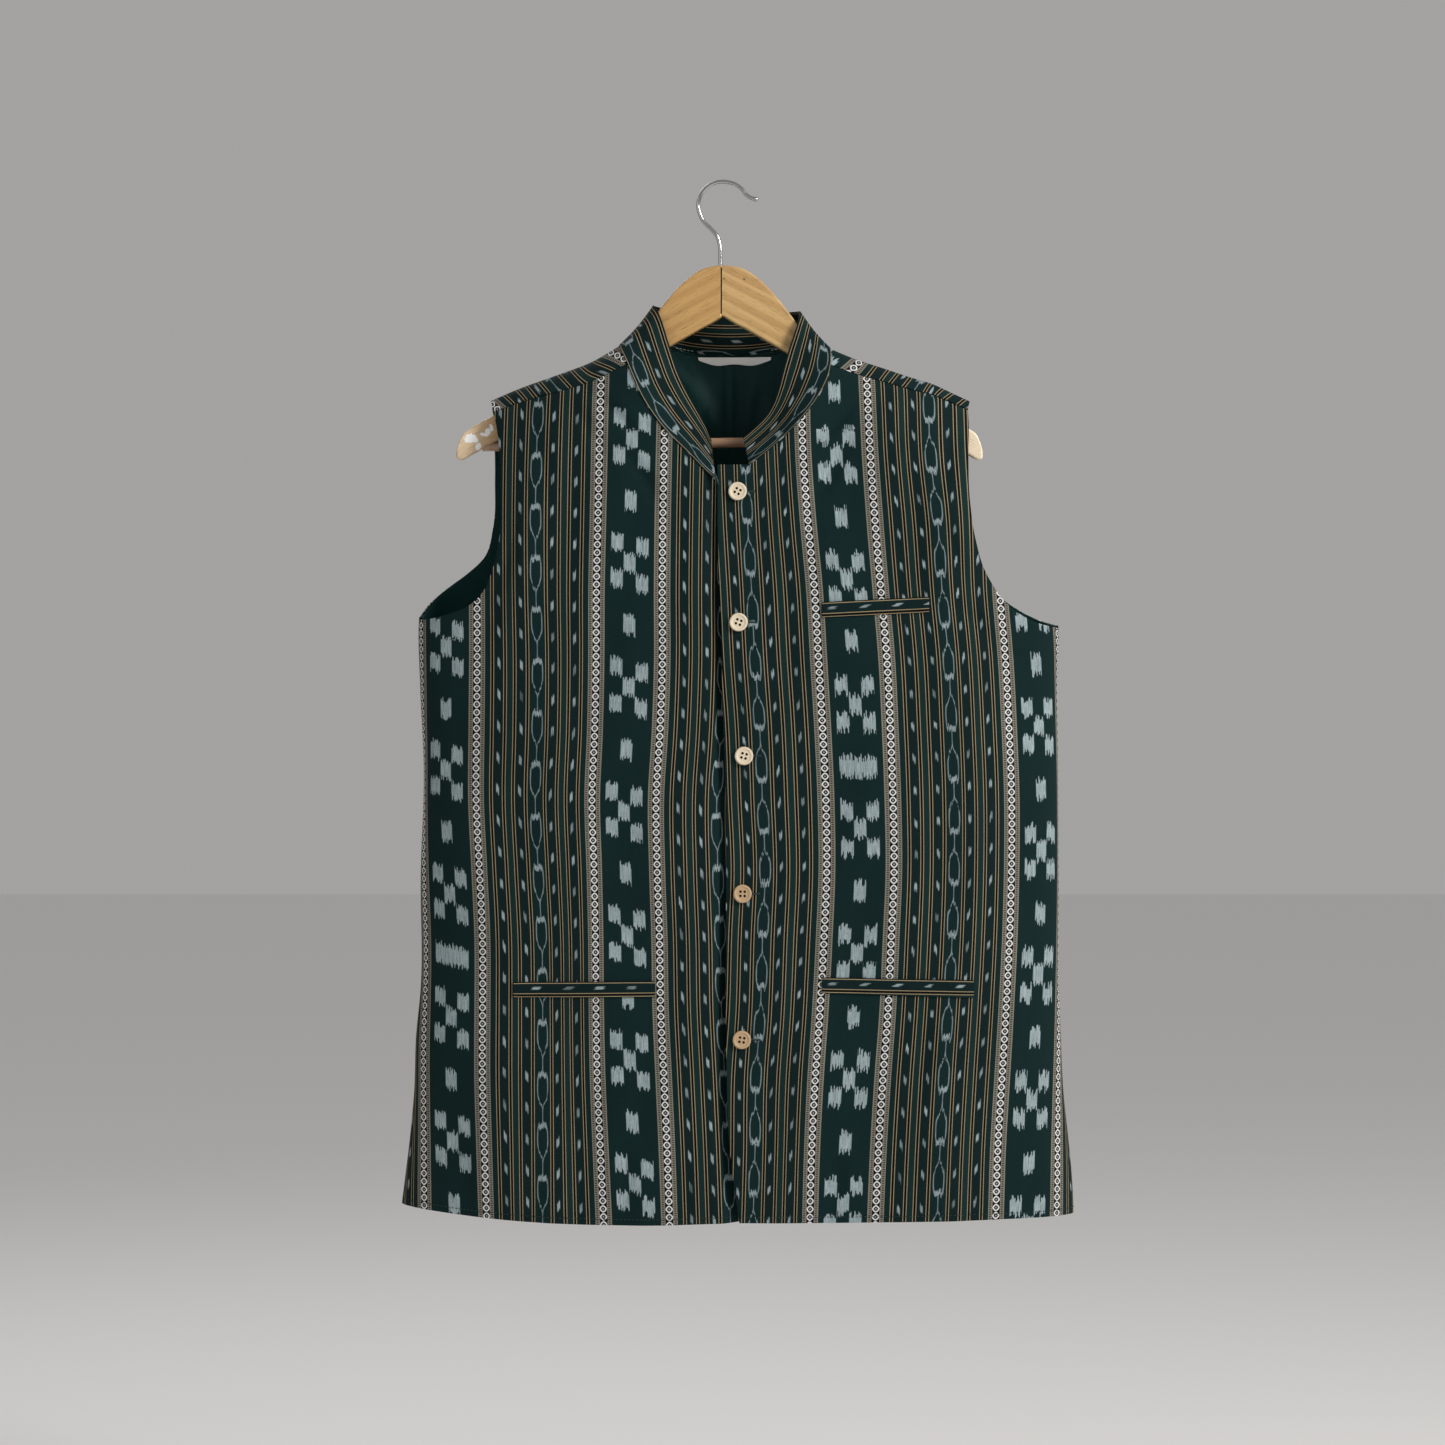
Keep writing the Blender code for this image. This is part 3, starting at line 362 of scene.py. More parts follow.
CREASES = (
    (FRONT, 96, -206, 48, 22, 5, -2.5),
    (FRONT, 118, -196, 62, 26, 6, -2.0),
    (FRONT, 92, -246, 30, 30, 6, -2.2),
    (FRONT, 150, -214, 30, 34, 8, -1.9),
    (FRONT, 190, -236, 12, 34, 7, -2.7),
    (FRONT, 197, -316, -14, 30, 6, -2.4),
    (FRONT, 214, -372, -40, 26, 6, -2.2),
    (FRONT, 250, -402, -52, 26, 6, -1.9),
    (FRONT, 262, -512, 6, 52, 8, -2.0),
    (FRONT, 258, -640, -4, 60, 8, -2.2),
    (FRONT, 62, -556, 82, 26, 6, -1.0),
    (FRONT, 130, -470, 76, 34, 8, -1.0),
    (FRONT, 168, -742, 12, 40, 8, -1.7),
    (FRONT, 96, -838, 4, 26, 7, -1.9),
    (FRONT, 208, -846, -4, 24, 7, -2.0),
    (FRONT, 262, -838, 3, 30, 7, -2.2),
    (FRONT, -88, -196, -44, 24, 5, -2.4),
    (FRONT, -112, -206, -36, 28, 6, -1.9),
    (FRONT, -64, -250, -34, 30, 6, -2.0),
    (FRONT, -150, -230, -10, 36, 7, -2.0),
    (FRONT, -178, -318, 14, 30, 6, -2.4),
    (FRONT, -198, -380, 42, 28, 6, -2.0),
    (FRONT, -226, -412, 54, 26, 6, -1.7),
    (FRONT, -236, -566, -5, 60, 8, -2.2),
    (FRONT, -238, -690, 6, 52, 8, -2.2),
    (FRONT, -110, -540, -78, 34, 8, -1.0),
    (FRONT, -70, -420, -70, 30, 7, -1.0),
    (FRONT, -152, -848, 4, 22, 7, -2.0),
    (FRONT, -78, -836, -3, 30, 7, -1.9),
    (FRONT, -214, -836, -6, 28, 7, -2.4),
    (FRONT, -30, -846, 2, 22, 6, -1.5),
    (BACK, -150, -230, 34, 44, 9, -2.7),
    (BACK, -96, -210, 20, 40, 8, -2.2),
    (BACK, 104, -212, -22, 40, 8, -2.2),
    (BACK, 160, -238, -36, 44, 9, -2.7),
    (BACK, -24, -188, 6, 30, 7, -1.7),
    (BACK, 44, -196, -8, 34, 7, -1.9),
    (BACK, -176, -340, 26, 40, 8, -2.5),
    (BACK, 192, -352, -28, 40, 8, -2.5),
    (BACK, -214, -600, 4, 80, 10, -3.1),
    (BACK, 246, -470, -4, 70, 9, -2.9),
    (BACK, 40, -520, 3, 90, 10, -2.4),
    (BACK, -100, -640, -4, 90, 10, -2.7),
    (BACK, 118, -640, 5, 80, 9, -2.5),
    (BACK, -34, -846, 3, 26, 8, -2.4),
    (BACK, 60, -842, -4, 28, 8, -2.0),
    (BACK, 140, -846, 3, 24, 8, -2.2),
    (BACK, -130, -846, -3, 26, 8, -2.4),
)
CREASE_RIDGE, CREASE_RIDGE_PLACE, CREASE_RIDGE_WIDTH = 0.5, 1.7, 1.4
CREASE_WANDER, CREASE_FADE = 0.12, 2.5
BUTTON_CALM = 24.0
DRAPE_COLUMNS = ("along_x", "along_z", "phase", "rise")
DRAPE = (
    (88.0, 410.0, 0.4, 0.45),
    (53.0, -290.0, 1.9, 0.30),
    (-37.0, 170.0, 3.1, 0.18),
)


def along_and_beside(row, across, up):
    """Distances along a fold's own line and beside it: the place turned by its lean."""
    lean = math.radians(row["lean"])
    right, rise = across - row["across"], up - row["up"]
    return right * math.sin(lean) + rise * math.cos(lean), right * math.cos(lean) - rise * math.sin(lean)


def folds_at(face, across, up):
    """Broad folds: rise times a bell curve along and a bell curve across each one."""
    total = np.zeros(np.broadcast(across, up).shape)
    for fold in records(FOLD_COLUMNS, FOLDS):
        if fold["face"] == face:
            along, beside = along_and_beside(fold, across, up)
            total += fold["rise"] * np.exp(-((along / fold["length"]) ** 2) - (beside / fold["width"]) ** 2)
    return total


def creases_at(face, across, up):
    """Small creases: a narrow trough and a ridge half as high beside it, both faded along their length."""
    total = np.zeros(np.broadcast(across, up).shape)
    for crease in records(FOLD_COLUMNS, CREASES):
        if crease["face"] == face:
            width, length = crease["width"], crease["length"]
            along, beside = along_and_beside(crease, across, up)
            beside = beside + CREASE_WANDER * along * np.sin(along / length)
            trough = np.exp(-((beside / width) ** 2))
            offset = (beside - CREASE_RIDGE_PLACE * width) / (CREASE_RIDGE_WIDTH * width)
            ridge = CREASE_RIDGE * np.exp(-(offset**2))
            total += crease["rise"] * (trough - ridge) * np.exp(-np.abs(along / length) ** CREASE_FADE)
    for wave in records(DRAPE_COLUMNS, DRAPE):
        turn = 2 * math.pi * (across / wave["along_x"] + up / wave["along_z"]) + wave["phase"]
        total += wave["rise"] * np.sin(turn)
    calm = np.ones_like(total)
    if face == FRONT:
        for button_across, button_up in BUTTONS:
            away = np.hypot(across - button_across, up - button_up)
            calm *= smoothstep((away - BUTTON_CALM / 3) / BUTTON_CALM)
    return total * calm


def softness(across, up, inset=0.0):
    """0 where a sheet meets its neighbour and 1 in the open: a superellipse times a quarter ellipse."""
    left, right = body_at("left", up) + inset, body_at("right", up) - inset
    middle, half = (left + right) / 2, (right - left) / 2
    beside = np.clip(np.abs(across - middle) / half, 0, 1)
    drop = np.clip((ridge_at(across) - inset - up) / SHOULDER_ROUNDING, 0, 1)
    return np.clip(np.sqrt(1 - beside**SIDE_POWER) * np.sqrt(1 - (1 - drop) ** 2), 0, 1)


def reach_at(face, up):
    """How far a sheet stands out at a height where nothing rounds it in."""
    return body_at("front" if face == FRONT else "back", up)


def sheet_depth(face, across, up, inset=0.0):
    """Depth of a sheet: its reach times its softness, and its folds and creases times softness squared."""
    soft = softness(across, up, inset)
    moved = folds_at(face, across, up) + creases_at(face, across, up)
    return face * (SIDE_GAP + (reach_at(face, up) - inset) * soft + moved * soft**2)


def on_front(across, up, out=0.0):
    """Points of the front sheet, moved out along its normal, which comes from two central differences."""
    step = 0.5
    depth = sheet_depth(FRONT, across, up)
    rise_x = sheet_depth(FRONT, across + step, up) - sheet_depth(FRONT, across - step, up)
    rise_z = sheet_depth(FRONT, across, up + step) - sheet_depth(FRONT, across, up - step)
    normal = np.stack([rise_x, np.full_like(rise_x, -2 * step), rise_z], -1)
    normal /= np.linalg.norm(normal, axis=-1, keepdims=True)
    return np.stack([across, depth, up], -1) + normal * np.asarray(out)[..., None]


def over_shoulder(across, along, inset=0.0):
    """Points of the back sheet, which goes up to the ridge and then comes down the front."""
    ridge = ridge_at(across) - inset
    up = np.where(along > ridge, 2 * ridge - along, along)
    turned = np.clip((along - ridge) / SIDE_GAP, -1, 1)
    front_depth = sheet_depth(FRONT, across, up, inset)
    depth = np.where(turned > 0, front_depth, sheet_depth(BACK, across, up, inset))
    depth = np.where(np.abs(turned) < 1e-6, 0.0, depth)
    return np.stack([across, depth, up], -1)


print("broad folds:", len(FOLDS), "small creases:", len(CREASES))

# %% [markdown]
# Every cloth piece is one grid of points, with rows from the hem up and columns across. The cloth's own
# measures go into a UV map called cloth: U counts millimetres across the stripes and V millimetres
# along them. The ikat material reads only this map, so the stripes bend with the cloth.

# %% Sheets from grids
def sheet_mesh(name, points, cloth, present=None, flip=False):
    """A surface: a vertex for each point that is present, a square between every four, and cloth UVs."""
    if present is None:
        present = np.ones(points.shape[:2], bool)
    index = np.where(present, np.cumsum(present.ravel()).reshape(present.shape) - 1, -1)
    squares = np.stack([index[:-1, :-1], index[:-1, 1:], index[1:, 1:], index[1:, :-1]], -1)
    squares = squares[(squares >= 0).all(-1)]
    if flip:
        squares = squares[:, ::-1]
    mesh = bpy.data.meshes.new(name)
    mesh.vertices.add(int(present.sum()))
    mesh.vertices.foreach_set("co", (points[present] * MM).ravel())
    mesh.loops.add(squares.size)
    mesh.loops.foreach_set("vertex_index", squares.ravel())
    mesh.polygons.add(len(squares))
    mesh.polygons.foreach_set("loop_start", np.arange(len(squares)) * 4)
    mesh.polygons.foreach_set("use_smooth", np.ones(len(squares), bool))
    layer = mesh.uv_layers.new(name="cloth")
    layer.data.foreach_set("uv", cloth[present][squares.ravel()].ravel())
    mesh.update(calc_edges=True)
    mesh.validate()
    return mesh


def add_piece(name, mesh, nodes, wall=0.0, offset=-1.0, rim=0.0):
    """Links a piece, gives it its wall and rounded rim, ties it to the body and hides the solids it stands
    for.
    """
    obj = bpy.data.objects.new(name, mesh)
    bpy.context.scene.collection.objects.link(obj)
    if wall:
        solid = obj.modifiers.new("Wall", "SOLIDIFY")
        solid.thickness = wall * MM
        solid.offset = offset
        solid.use_even_offset = False
        solid.material_offset = 1
    if rim:
        rounding = obj.modifiers.new("Rim", "BEVEL")
        rounding.width = rim * MM
        rounding.segments = 2
        rounding.limit_method = "ANGLE"
        rounding.angle_limit = math.radians(60)
        rounding.harden_normals = True
    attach(obj, "root")
    if nodes:
        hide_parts(*nodes)
    return obj


def row_lengths(points):
    """How far each point lies along its row, measured over the surface: summed steps."""
    steps = np.linalg.norm(np.diff(points, axis=1), axis=-1)
    return np.concatenate([np.zeros((len(points), 1)), np.cumsum(steps, axis=1)], axis=1)


def guide(table, stations):
    """The across and up values of a guide line at each row's station."""
    named = columns(ARMHOLE_COLUMNS, table)
    return [smooth(named["station"], named[name], stations) for name in ("across", "up")]


def side_guide(table, side, hem, stations):
    """A panel's outer guide: the side seam up to station 1, then the armhole's edge."""
    rise = hem + (table[0][2] - hem) * np.clip(stations, 0, 1)
    across, up = guide(table, stations)
    return np.where(stations <= 1, body_at(side, rise), across), np.where(stations <= 1, rise, up)


def strip(start, end, weights):
    """Rows ruled between two guide lines: (1 - weight) times the first plus weight times the second."""
    across = start[0][:, None] * (1 - weights) + end[0][:, None] * weights
    along = start[1][:, None] * (1 - weights) + end[1][:, None] * weights
    return across, along


def bow_to_ridge(across, along, amount):
    """Lets each row follow the ridge's bend as much as its amount says."""
    first, last = across[:, :1], across[:, -1:]
    weights = (across - first) / (last - first)
    chord = ridge_at(first) * (1 - weights) + ridge_at(last) * weights
    return along + amount[:, None] * (ridge_at(across) - chord)


EDGE_EASE = 0.15


def eased(count):
    """Column weights from 0 to 1, even over most of the cloth and close together at the turned edge."""
    even = np.linspace(0, 1, count + 1)
    steps = np.concatenate([[0, even[1] / 4, even[1] / 2], even[1:]])
    return steps**2 * (1 + EDGE_EASE) / (steps + EDGE_EASE)


print("points across a front:", len(eased(64)))

# %% [markdown]
# The stripes were measured on each front where a border or a chain of ovals crosses a height. Between
# those lines the cloth's U runs evenly over the surface, and beyond the outermost line it goes on at
# one millimetre a millimetre, also where the cloth turns round to the side.

# %% Where the stripes run
WARP_LEFT_COLUMNS = ("up", "border_1", "chain", "border_2", "border_3")
WARP_LEFT_U = (-207.6, -157.0, -106.3, -50.6)
WARP_LEFT = (
    (-170, -203.9, -152.7, -100.2, -46.2),
    (-286, -203.9, -154.8, -102.4, -48.5),
    (-344, -203.9, -154.3, -103.7, -49.0),
    (-403, -203.8, -152.9, -104.0, -48.8),
    (-461, -204.3, -153.1, -105.1, -50.7),
    (-519, -204.6, -154.7, -107.3, -54.1),
    (-577, -201.7, -152.3, -105.6, -53.2),
    (-636, -199.1, -149.2, -104.5, -51.2),
    (-694, -199.0, -148.5, -104.1, -50.2),
    (-752, -199.0, -148.3, -103.0, -47.4),
    (-811, -197.1, -148.3, -100.3, -44.7),
    (-869, -195.1, -148.3, -97.4, -42.7),
)
WARP_RIGHT_COLUMNS = ("up", "chain_0", "border_a", "border_b", "chain", "border_c")
WARP_RIGHT_U = (0.0, 50.6, 106.3, 157.0, 207.6)
WARP_RIGHT = (
    (-170, 18.0, 67.0, 122.0, 174.0, 233.1),
    (-228, 20.0, 68.2, 124.3, 174.5, 233.1),
    (-286, 22.1, 72.4, 128.2, 180.7, 233.1),
    (-344, 25.4, 77.9, 133.1, 184.3, 233.1),
    (-403, 28.3, 81.3, 138.2, 189.7, 237.9),
    (-461, 32.3, 84.7, 141.0, 192.4, 241.0),
    (-519, 34.4, 87.4, 143.1, 194.4, 243.1),
    (-577, 36.7, 88.1, 144.0, 194.4, 242.9),
    (-636, 34.5, 85.7, 141.6, 192.6, 241.2),
    (-694, 32.8, 82.4, 139.0, 189.3, 238.2),
    (-752, 29.0, 78.3, 134.6, 185.3, 234.7),
    (-811, 28.3, 75.3, 130.9, 182.1, 231.0),
    (-869, 26.7, 73.7, 128.2, 179.8, 229.0),
)


def surface_length(face, start, end, up, samples=48):
    """Length over a plain sheet between two places at one height: summed steps of its section."""
    weights = np.linspace(0, 1, samples)
    across = start[..., None] + (end - start)[..., None] * weights
    height = np.broadcast_to(up[..., None], across.shape)
    depth = reach_at(face, height) * softness(across, height)
    return np.hypot(np.diff(across, axis=-1), np.diff(depth, axis=-1)).sum(-1)


def warp_map(points, names, table, line_u):
    """Cloth UVs of a front: U is interpolated between the measured lines and goes on beyond the last."""
    lines = columns(names, table[::-1])
    across, up = points[..., 0], points[..., 2]
    places = [smooth(lines["up"], lines[name], up) for name in names[1:]]
    u = line_u[0] + (across - places[0])
    for i in range(len(places) - 1):
        share = (across - places[i]) / (places[i + 1] - places[i])
        u = np.where(share > 0, line_u[i] + share * (line_u[i + 1] - line_u[i]), u)
    u = np.where(across > places[-1], line_u[-1] + (across - places[-1]), u)
    outer = 0 if line_u[0] < 0 else -1
    side = 1 if outer else -1
    beyond = side * (across - places[outer]) > 0
    length = surface_length(FRONT, places[outer], np.where(beyond, across, places[outer]), up)
    u = np.where(beyond, line_u[outer] + side * length, u)
    return np.stack([u, -up], -1)


print("measured lines on the left and right:", len(WARP_LEFT_U), len(WARP_RIGHT_U))

# %% [markdown]
# Each front is ruled between two guide lines. The outer one climbs the side seam and the armhole and
# ends at the shoulder seam. The inner one climbs beside the front edge and then follows the neck seam.
# The front that laps over gets a narrow stand. The front below it dips to make room, and sinks further
# in a valley beside the lapped edge, which throws the edge's shadow.

# %% Fronts
FRONT_WALL, RIM = 1.8, 0.5
SEAM_GAP = 0.5
FRONT_COLUMNS, STAND_COLUMNS = 64, 10
SIDE_ROWS, ARMHOLE_ROWS, NECK_ROWS = 120, 44, 46
FRONT_STATIONS = np.concatenate(
    [np.linspace(0, 1, SIDE_ROWS), np.linspace(1, 2, ARMHOLE_ROWS)[1:], np.linspace(2, 3, NECK_ROWS)[1:]]
)
ROLL_WIDTH, ROLL_DEPTH = 3.5, 0.5
HEM_FOLD, HEM_STITCH_DIP, HEM_DIP_WIDTH = 5.0, 0.35, 1.1
HEM_SAG_FADE = 3


def neck_rows(first, last):
    """The neck seam's points between two rows of the collar's table, ends included."""
    step = 1 if last > first else -1
    rows = np.arange(first, last + step, step)
    return collar["across"][rows], collar["up"][rows]


def front_inner_guide(main_line, neck, stations):
    """A front's inner guide: up its front edge to station 2, then along the neck seam to station 3."""
    neck_across, neck_up = neck
    rise = HEM_CENTRE + (neck_up[0] - HEM_CENTRE) * np.clip(stations, 0, 2) / 2
    spread = np.linspace(2, 3, len(neck_across))
    across = np.where(stations <= 2, main_line(rise), smooth(spread, neck_across, stations))
    return across, np.where(stations <= 2, rise, smooth(spread, neck_up, stations))


def edge_distance(points, present):
    """Over the surface: how far each point is from its row's ends, its column's ends and the hem."""
    across_steps = row_lengths(points)
    last = np.where(present, across_steps, 0).max(1, keepdims=True)
    up_steps = row_lengths(points.swapaxes(0, 1)).swapaxes(0, 1)
    top = np.where(present, up_steps, 0).max(0, keepdims=True)
    return np.minimum(across_steps, last - across_steps), np.minimum(up_steps, top - up_steps), up_steps


def rolled(points, present):
    """Rolls the cloth in at its sewn edges and dips it a little along the hem's stitches."""
    beside, along, from_hem = edge_distance(points, present)
    roll = (1 - smoothstep(beside / ROLL_WIDTH)) + (1 - smoothstep(along / ROLL_WIDTH))
    depth = ROLL_DEPTH * np.clip(roll, 0, 1)
    depth = depth + HEM_STITCH_DIP * np.exp(-(((from_hem - HEM_FOLD) / HEM_DIP_WIDTH) ** 2))
    moved = points.copy()
    moved[..., 1] += depth * np.where(points[..., 1] < 0, 1, -1)
    return moved


def front_points(armhole, side, hem, sag, neck, stand_line, main_line, recessed):
    """A front's grid: a wide strip from the side to the collar's end, and the stand beyond it."""
    stations = FRONT_STATIONS
    outer = side_guide(armhole, side, hem, stations)
    inner = front_inner_guide(main_line, neck, stations)
    under_seam = SEAM_GAP * smoothstep(stations - 2)
    outer, inner = (outer[0], outer[1] - under_seam), (inner[0], inner[1] - under_seam)
    weights = eased(FRONT_COLUMNS)
    across, up = strip(outer, inner, weights)
    up = up - sag * np.sin(math.pi * weights) * (1 - smoothstep(stations * HEM_SAG_FADE))[:, None]
    up = bow_to_ridge(across, up, smoothstep(stations - 2))
    beyond = np.arange(1, STAND_COLUMNS + 1) / STAND_COLUMNS
    stand_x, stand_z = strip(inner, (stand_line(inner[1]), inner[1]), beyond)
    across, up = np.hstack([across, stand_x]), np.hstack([up, stand_z])
    present = np.ones(across.shape, bool)
    present[:, len(weights) :] = (stations <= 2)[:, None]
    if side == "right":
        across, up, present = across[:, ::-1], up[:, ::-1], present[:, ::-1]
    points = on_front(across, up)
    if recessed:
        gap_start = overlap_edge(up) - RECESS_WIDTH
        recess = smooth(edge["up"], edge["recess"], up)
        points[..., 1] += recess * smoothstep((across - gap_start) / RECESS_WIDTH)
        dip = smooth(valley["up"], valley["dip"], up)
        points[..., 1] += dip * smoothstep((across - overlap_edge(up)) / VALLEY_WIDTH + 1)
    return points, present


right_front, right_present = front_points(
    FRONT_ARMHOLE_LEFT,
    "left",
    HEM_LEFT,
    HEM_SAG_LEFT,
    neck_rows(0, LEFT_SEAM_ROW),
    lambda up: overlap_edge(up) + UNDERLAP,
    lambda up: overlap_edge(up) - UNDER_EDGE,
    True,
)
left_front, left_present = front_points(
    FRONT_ARMHOLE_RIGHT,
    "right",
    HEM_RIGHT,
    HEM_SAG_RIGHT,
    neck_rows(len(COLLAR) - 1, RIGHT_SEAM_ROW),
    overlap_edge,
    lambda up: overlap_edge(up) + STAND_WIDTH,
    False,
)
right_uv = warp_map(right_front, WARP_LEFT_COLUMNS, WARP_LEFT, WARP_LEFT_U)
left_uv = warp_map(left_front, WARP_RIGHT_COLUMNS, WARP_RIGHT, WARP_RIGHT_U)
front_pieces = []
for name, points, cloth, present in (
    ("front_right", right_front, right_uv, right_present),
    ("front_left", left_front, left_uv, left_present),
):
    mesh = sheet_mesh(f"{name}_cloth", rolled(points, present), cloth, present)
    front_pieces.append(add_piece(f"{name}_cloth", mesh, [name], FRONT_WALL, rim=RIM))
print("squares in the fronts:", [len(piece.data.polygons) for piece in front_pieces])

# %% [markdown]
# The back is one panel. It climbs over the ridge of each shoulder and ends at the shoulder seam on the
# front, so its stripes show there at a slant: a straight stripe that is folded over a sloping ridge
# turns by twice the slope. Its lining hangs just inside it and shows through the neck.

# %% Back and lining
BACK_WALL, LINING_WALL, LINING_INSET = 1.5, 1.0, 2.7
LINING_SHORTER, LINING_BELOW_SEAM = 20.0, 2.6
BACK_SIDE_COLUMNS, BACK_NECK_COLUMNS = 34, 84
NECK_SPREAD = 0.11
BOW_START, BOW_SPAN = 1.6, 2.4
BACK_MIDDLE = 11.5
LEVEL_BELOW, LEVEL_FADE = -330, 60
LINING_NECK_STATION = 3.8
BACK_STATIONS = np.concatenate(
    [np.linspace(0, 1, 90), np.linspace(1, 3, 50)[1:], 4 - np.linspace(1, 0, 26)[1:-1] ** 1.6, [4.0]]
)
SHOULDER_STATIONS = 4 + np.linspace(0, 1, 18)[1:] ** 1.5
PLEAT_COLUMNS = ("across", "up", "lean", "length", "width", "rise")
PLEATS = (
    (-22.0, -176.0, -38.0, 24.0, 3.2, 4.6),
    (-9.0, -190.0, -24.0, 26.0, 3.6, 3.6),
    (7.4, -190.0, 0.0, 36.0, 3.0, 6.0),
    (24.0, -186.0, 12.0, 26.0, 3.8, 3.6),
    (40.0, -196.0, 28.0, 28.0, 4.2, 3.8),
    (-52.0, -230.0, 16.0, 60.0, 8.0, 1.6),
    (66.0, -240.0, -12.0, 60.0, 8.0, 1.6),
)


def back_neck_guide(side, hem, stations):
    """The line under a neck point: straight up to the ridge at station 4, then over it to the seam."""
    if side == "left":
        rows = np.arange(LEFT_RIDGE_ROW, LEFT_SEAM_ROW - 1, -1)
    else:
        rows = np.arange(RIGHT_RIDGE_ROW, RIGHT_SEAM_ROW + 1)
    across, up = collar["across"][rows], collar["up"][rows]
    along = np.where(collar["face"][rows] == FRONT, 2 * ridge_at(across) - up, up)
    spread = np.linspace(4, 5, len(rows))
    rise = hem + (along[0] - hem) * np.clip(stations, 0, 4) / 4
    beyond = smooth(spread, across, stations), smooth(spread, along, stations)
    return np.where(stations <= 4, across[0], beyond[0]), np.where(stations <= 4, rise, beyond[1])


def back_outer_guide(armhole, side, hem, seam_end, stations):
    """The back's side seam and armhole up to the ridge at station 4, then over it to the seam's end."""
    across, along = side_guide(armhole, side, hem, stations)
    over = np.clip(stations - 4, 0, 1)
    end_along = 2 * ridge_at(seam_end[0]) - seam_end[1]
    return across + over * (seam_end[0] - across), along + over * (end_along - along)


def back_grid(stations, inset, hem_rise):
    """The back's three strips: beside, under and beside the neck opening."""
    left = back_outer_guide(BACK_ARMHOLE_LEFT, "left", HEM_LEFT + hem_rise, SEAM_END_LEFT, stations)
    right = back_outer_guide(BACK_ARMHOLE_RIGHT, "right", HEM_RIGHT + hem_rise, SEAM_END_RIGHT, stations)
    left, right = (left[0] + inset, left[1]), (right[0] - inset, right[1])
    neck_left = back_neck_guide("left", HEM_LEFT - HEM_SAG_BACK + hem_rise, stations)
    neck_right = back_neck_guide("right", HEM_RIGHT - HEM_SAG_BACK + hem_rise, stations)
    follow = smoothstep((stations - BOW_START) / BOW_SPAN)
    side_weights = eased(BACK_SIDE_COLUMNS)
    across_left, along_left = strip(left, neck_left, side_weights)
    along_left = bow_to_ridge(across_left, along_left, follow)
    across_right, along_right = strip(neck_right, right, 1 - side_weights[::-1])
    along_right = bow_to_ridge(across_right, along_right, follow)
    even = np.linspace(0, 1, BACK_NECK_COLUMNS + 1)
    middle_weights = even - NECK_SPREAD * np.sin(2 * math.pi * even)
    across_neck, along_neck = strip(neck_left, neck_right, middle_weights)
    rows = np.arange(LEFT_RIDGE_ROW, RIGHT_RIDGE_ROW + 1)
    seam = smooth(collar["across"][rows], collar["up"][rows], across_neck)
    reach = smoothstep(np.clip(stations, 0, 4) - 3)[:, None]
    along_neck = along_neck + reach * (seam - along_neck)
    across = np.hstack([across_left, across_neck[:, 1:-1], across_right])
    along = np.hstack([along_left, along_neck[:, 1:-1], along_right])
    present = np.ones(across.shape, bool)
    first = across_left.shape[1]
    present[:, first : first + BACK_NECK_COLUMNS - 1] = (stations <= 4)[:, None]
    return across, along, present


def back_cloth(across, along):
    """Cloth UVs of the back: lengths from its middle line low down, flat distances high up.

    Beyond the ridge the cloth is unfolded about the ridge's slope: 2 slope / (1 + slope squared) across
    and (1 - slope squared) / (1 + slope squared) along.
    """
    ridge = ridge_at(across)
    middle = np.full_like(across, BACK_MIDDLE)
    lengths = np.sign(across - middle) * surface_length(BACK, middle, across, np.minimum(along, ridge))
    slope = (ridge_at(across + 2) - ridge_at(across - 2)) / 4
    beyond = np.maximum(along - ridge, 0)
    flat_x = across - BACK_MIDDLE - beyond * 2 * slope / (1 + slope**2)
    high = smoothstep((along - LEVEL_BELOW) / LEVEL_FADE)
    u = lengths * (1 - high) + flat_x * high
    v = -(np.minimum(along, ridge) + beyond * (1 - slope**2) / (1 + slope**2))
    return np.stack([u, v], -1)


stations = np.concatenate([BACK_STATIONS, SHOULDER_STATIONS])
across, along, present = back_grid(stations, 0.0, 0.0)
back_points = over_shoulder(across, along)
back_mesh = sheet_mesh("back_cloth", back_points, back_cloth(across, along), present, flip=True)
back_piece = add_piece("back_cloth", back_mesh, ["back"], BACK_WALL, rim=RIM)

lining_stations = BACK_STATIONS[BACK_STATIONS <= 4.0]
across, along, present = back_grid(lining_stations, LINING_INSET, LINING_SHORTER)
first = len(eased(BACK_SIDE_COLUMNS)) - 1
last = first + BACK_NECK_COLUMNS
along[:, first : last + 1] -= LINING_BELOW_SEAM * smoothstep(lining_stations - 3)[:, None]
high = lining_stations > LINING_NECK_STATION
present[high, : first + 1] = False
present[high, last:] = False
lining_points = over_shoulder(across, along, LINING_INSET)
for pleat in records(PLEAT_COLUMNS, PLEATS):
    beyond, beside = along_and_beside(pleat, lining_points[..., 0], lining_points[..., 2])
    swell = np.exp(-((beyond / pleat["length"]) ** 2) - (beside / pleat["width"]) ** 2)
    lining_points[..., 1] -= pleat["rise"] * swell * (lining_points[..., 1] > 0)
lining_uv = np.stack([across, -along], -1)
lining_mesh = sheet_mesh("back_lining_cloth", lining_points, lining_uv, present, flip=True)
lining_piece = add_piece("back_lining_cloth", lining_mesh, ["back_lining"], LINING_WALL)
print("squares in the back and its lining:", len(back_mesh.polygons), len(lining_mesh.polygons))

# %% [markdown]
# The collar is a band of double cloth that stands up from the neck seam. Its seam and its top edge are
# two smooth curves, and the band between them bows in a little, as a stiffened collar does. The welts
# are laid on the fronts, and the label hangs in front of the lining under the neck.

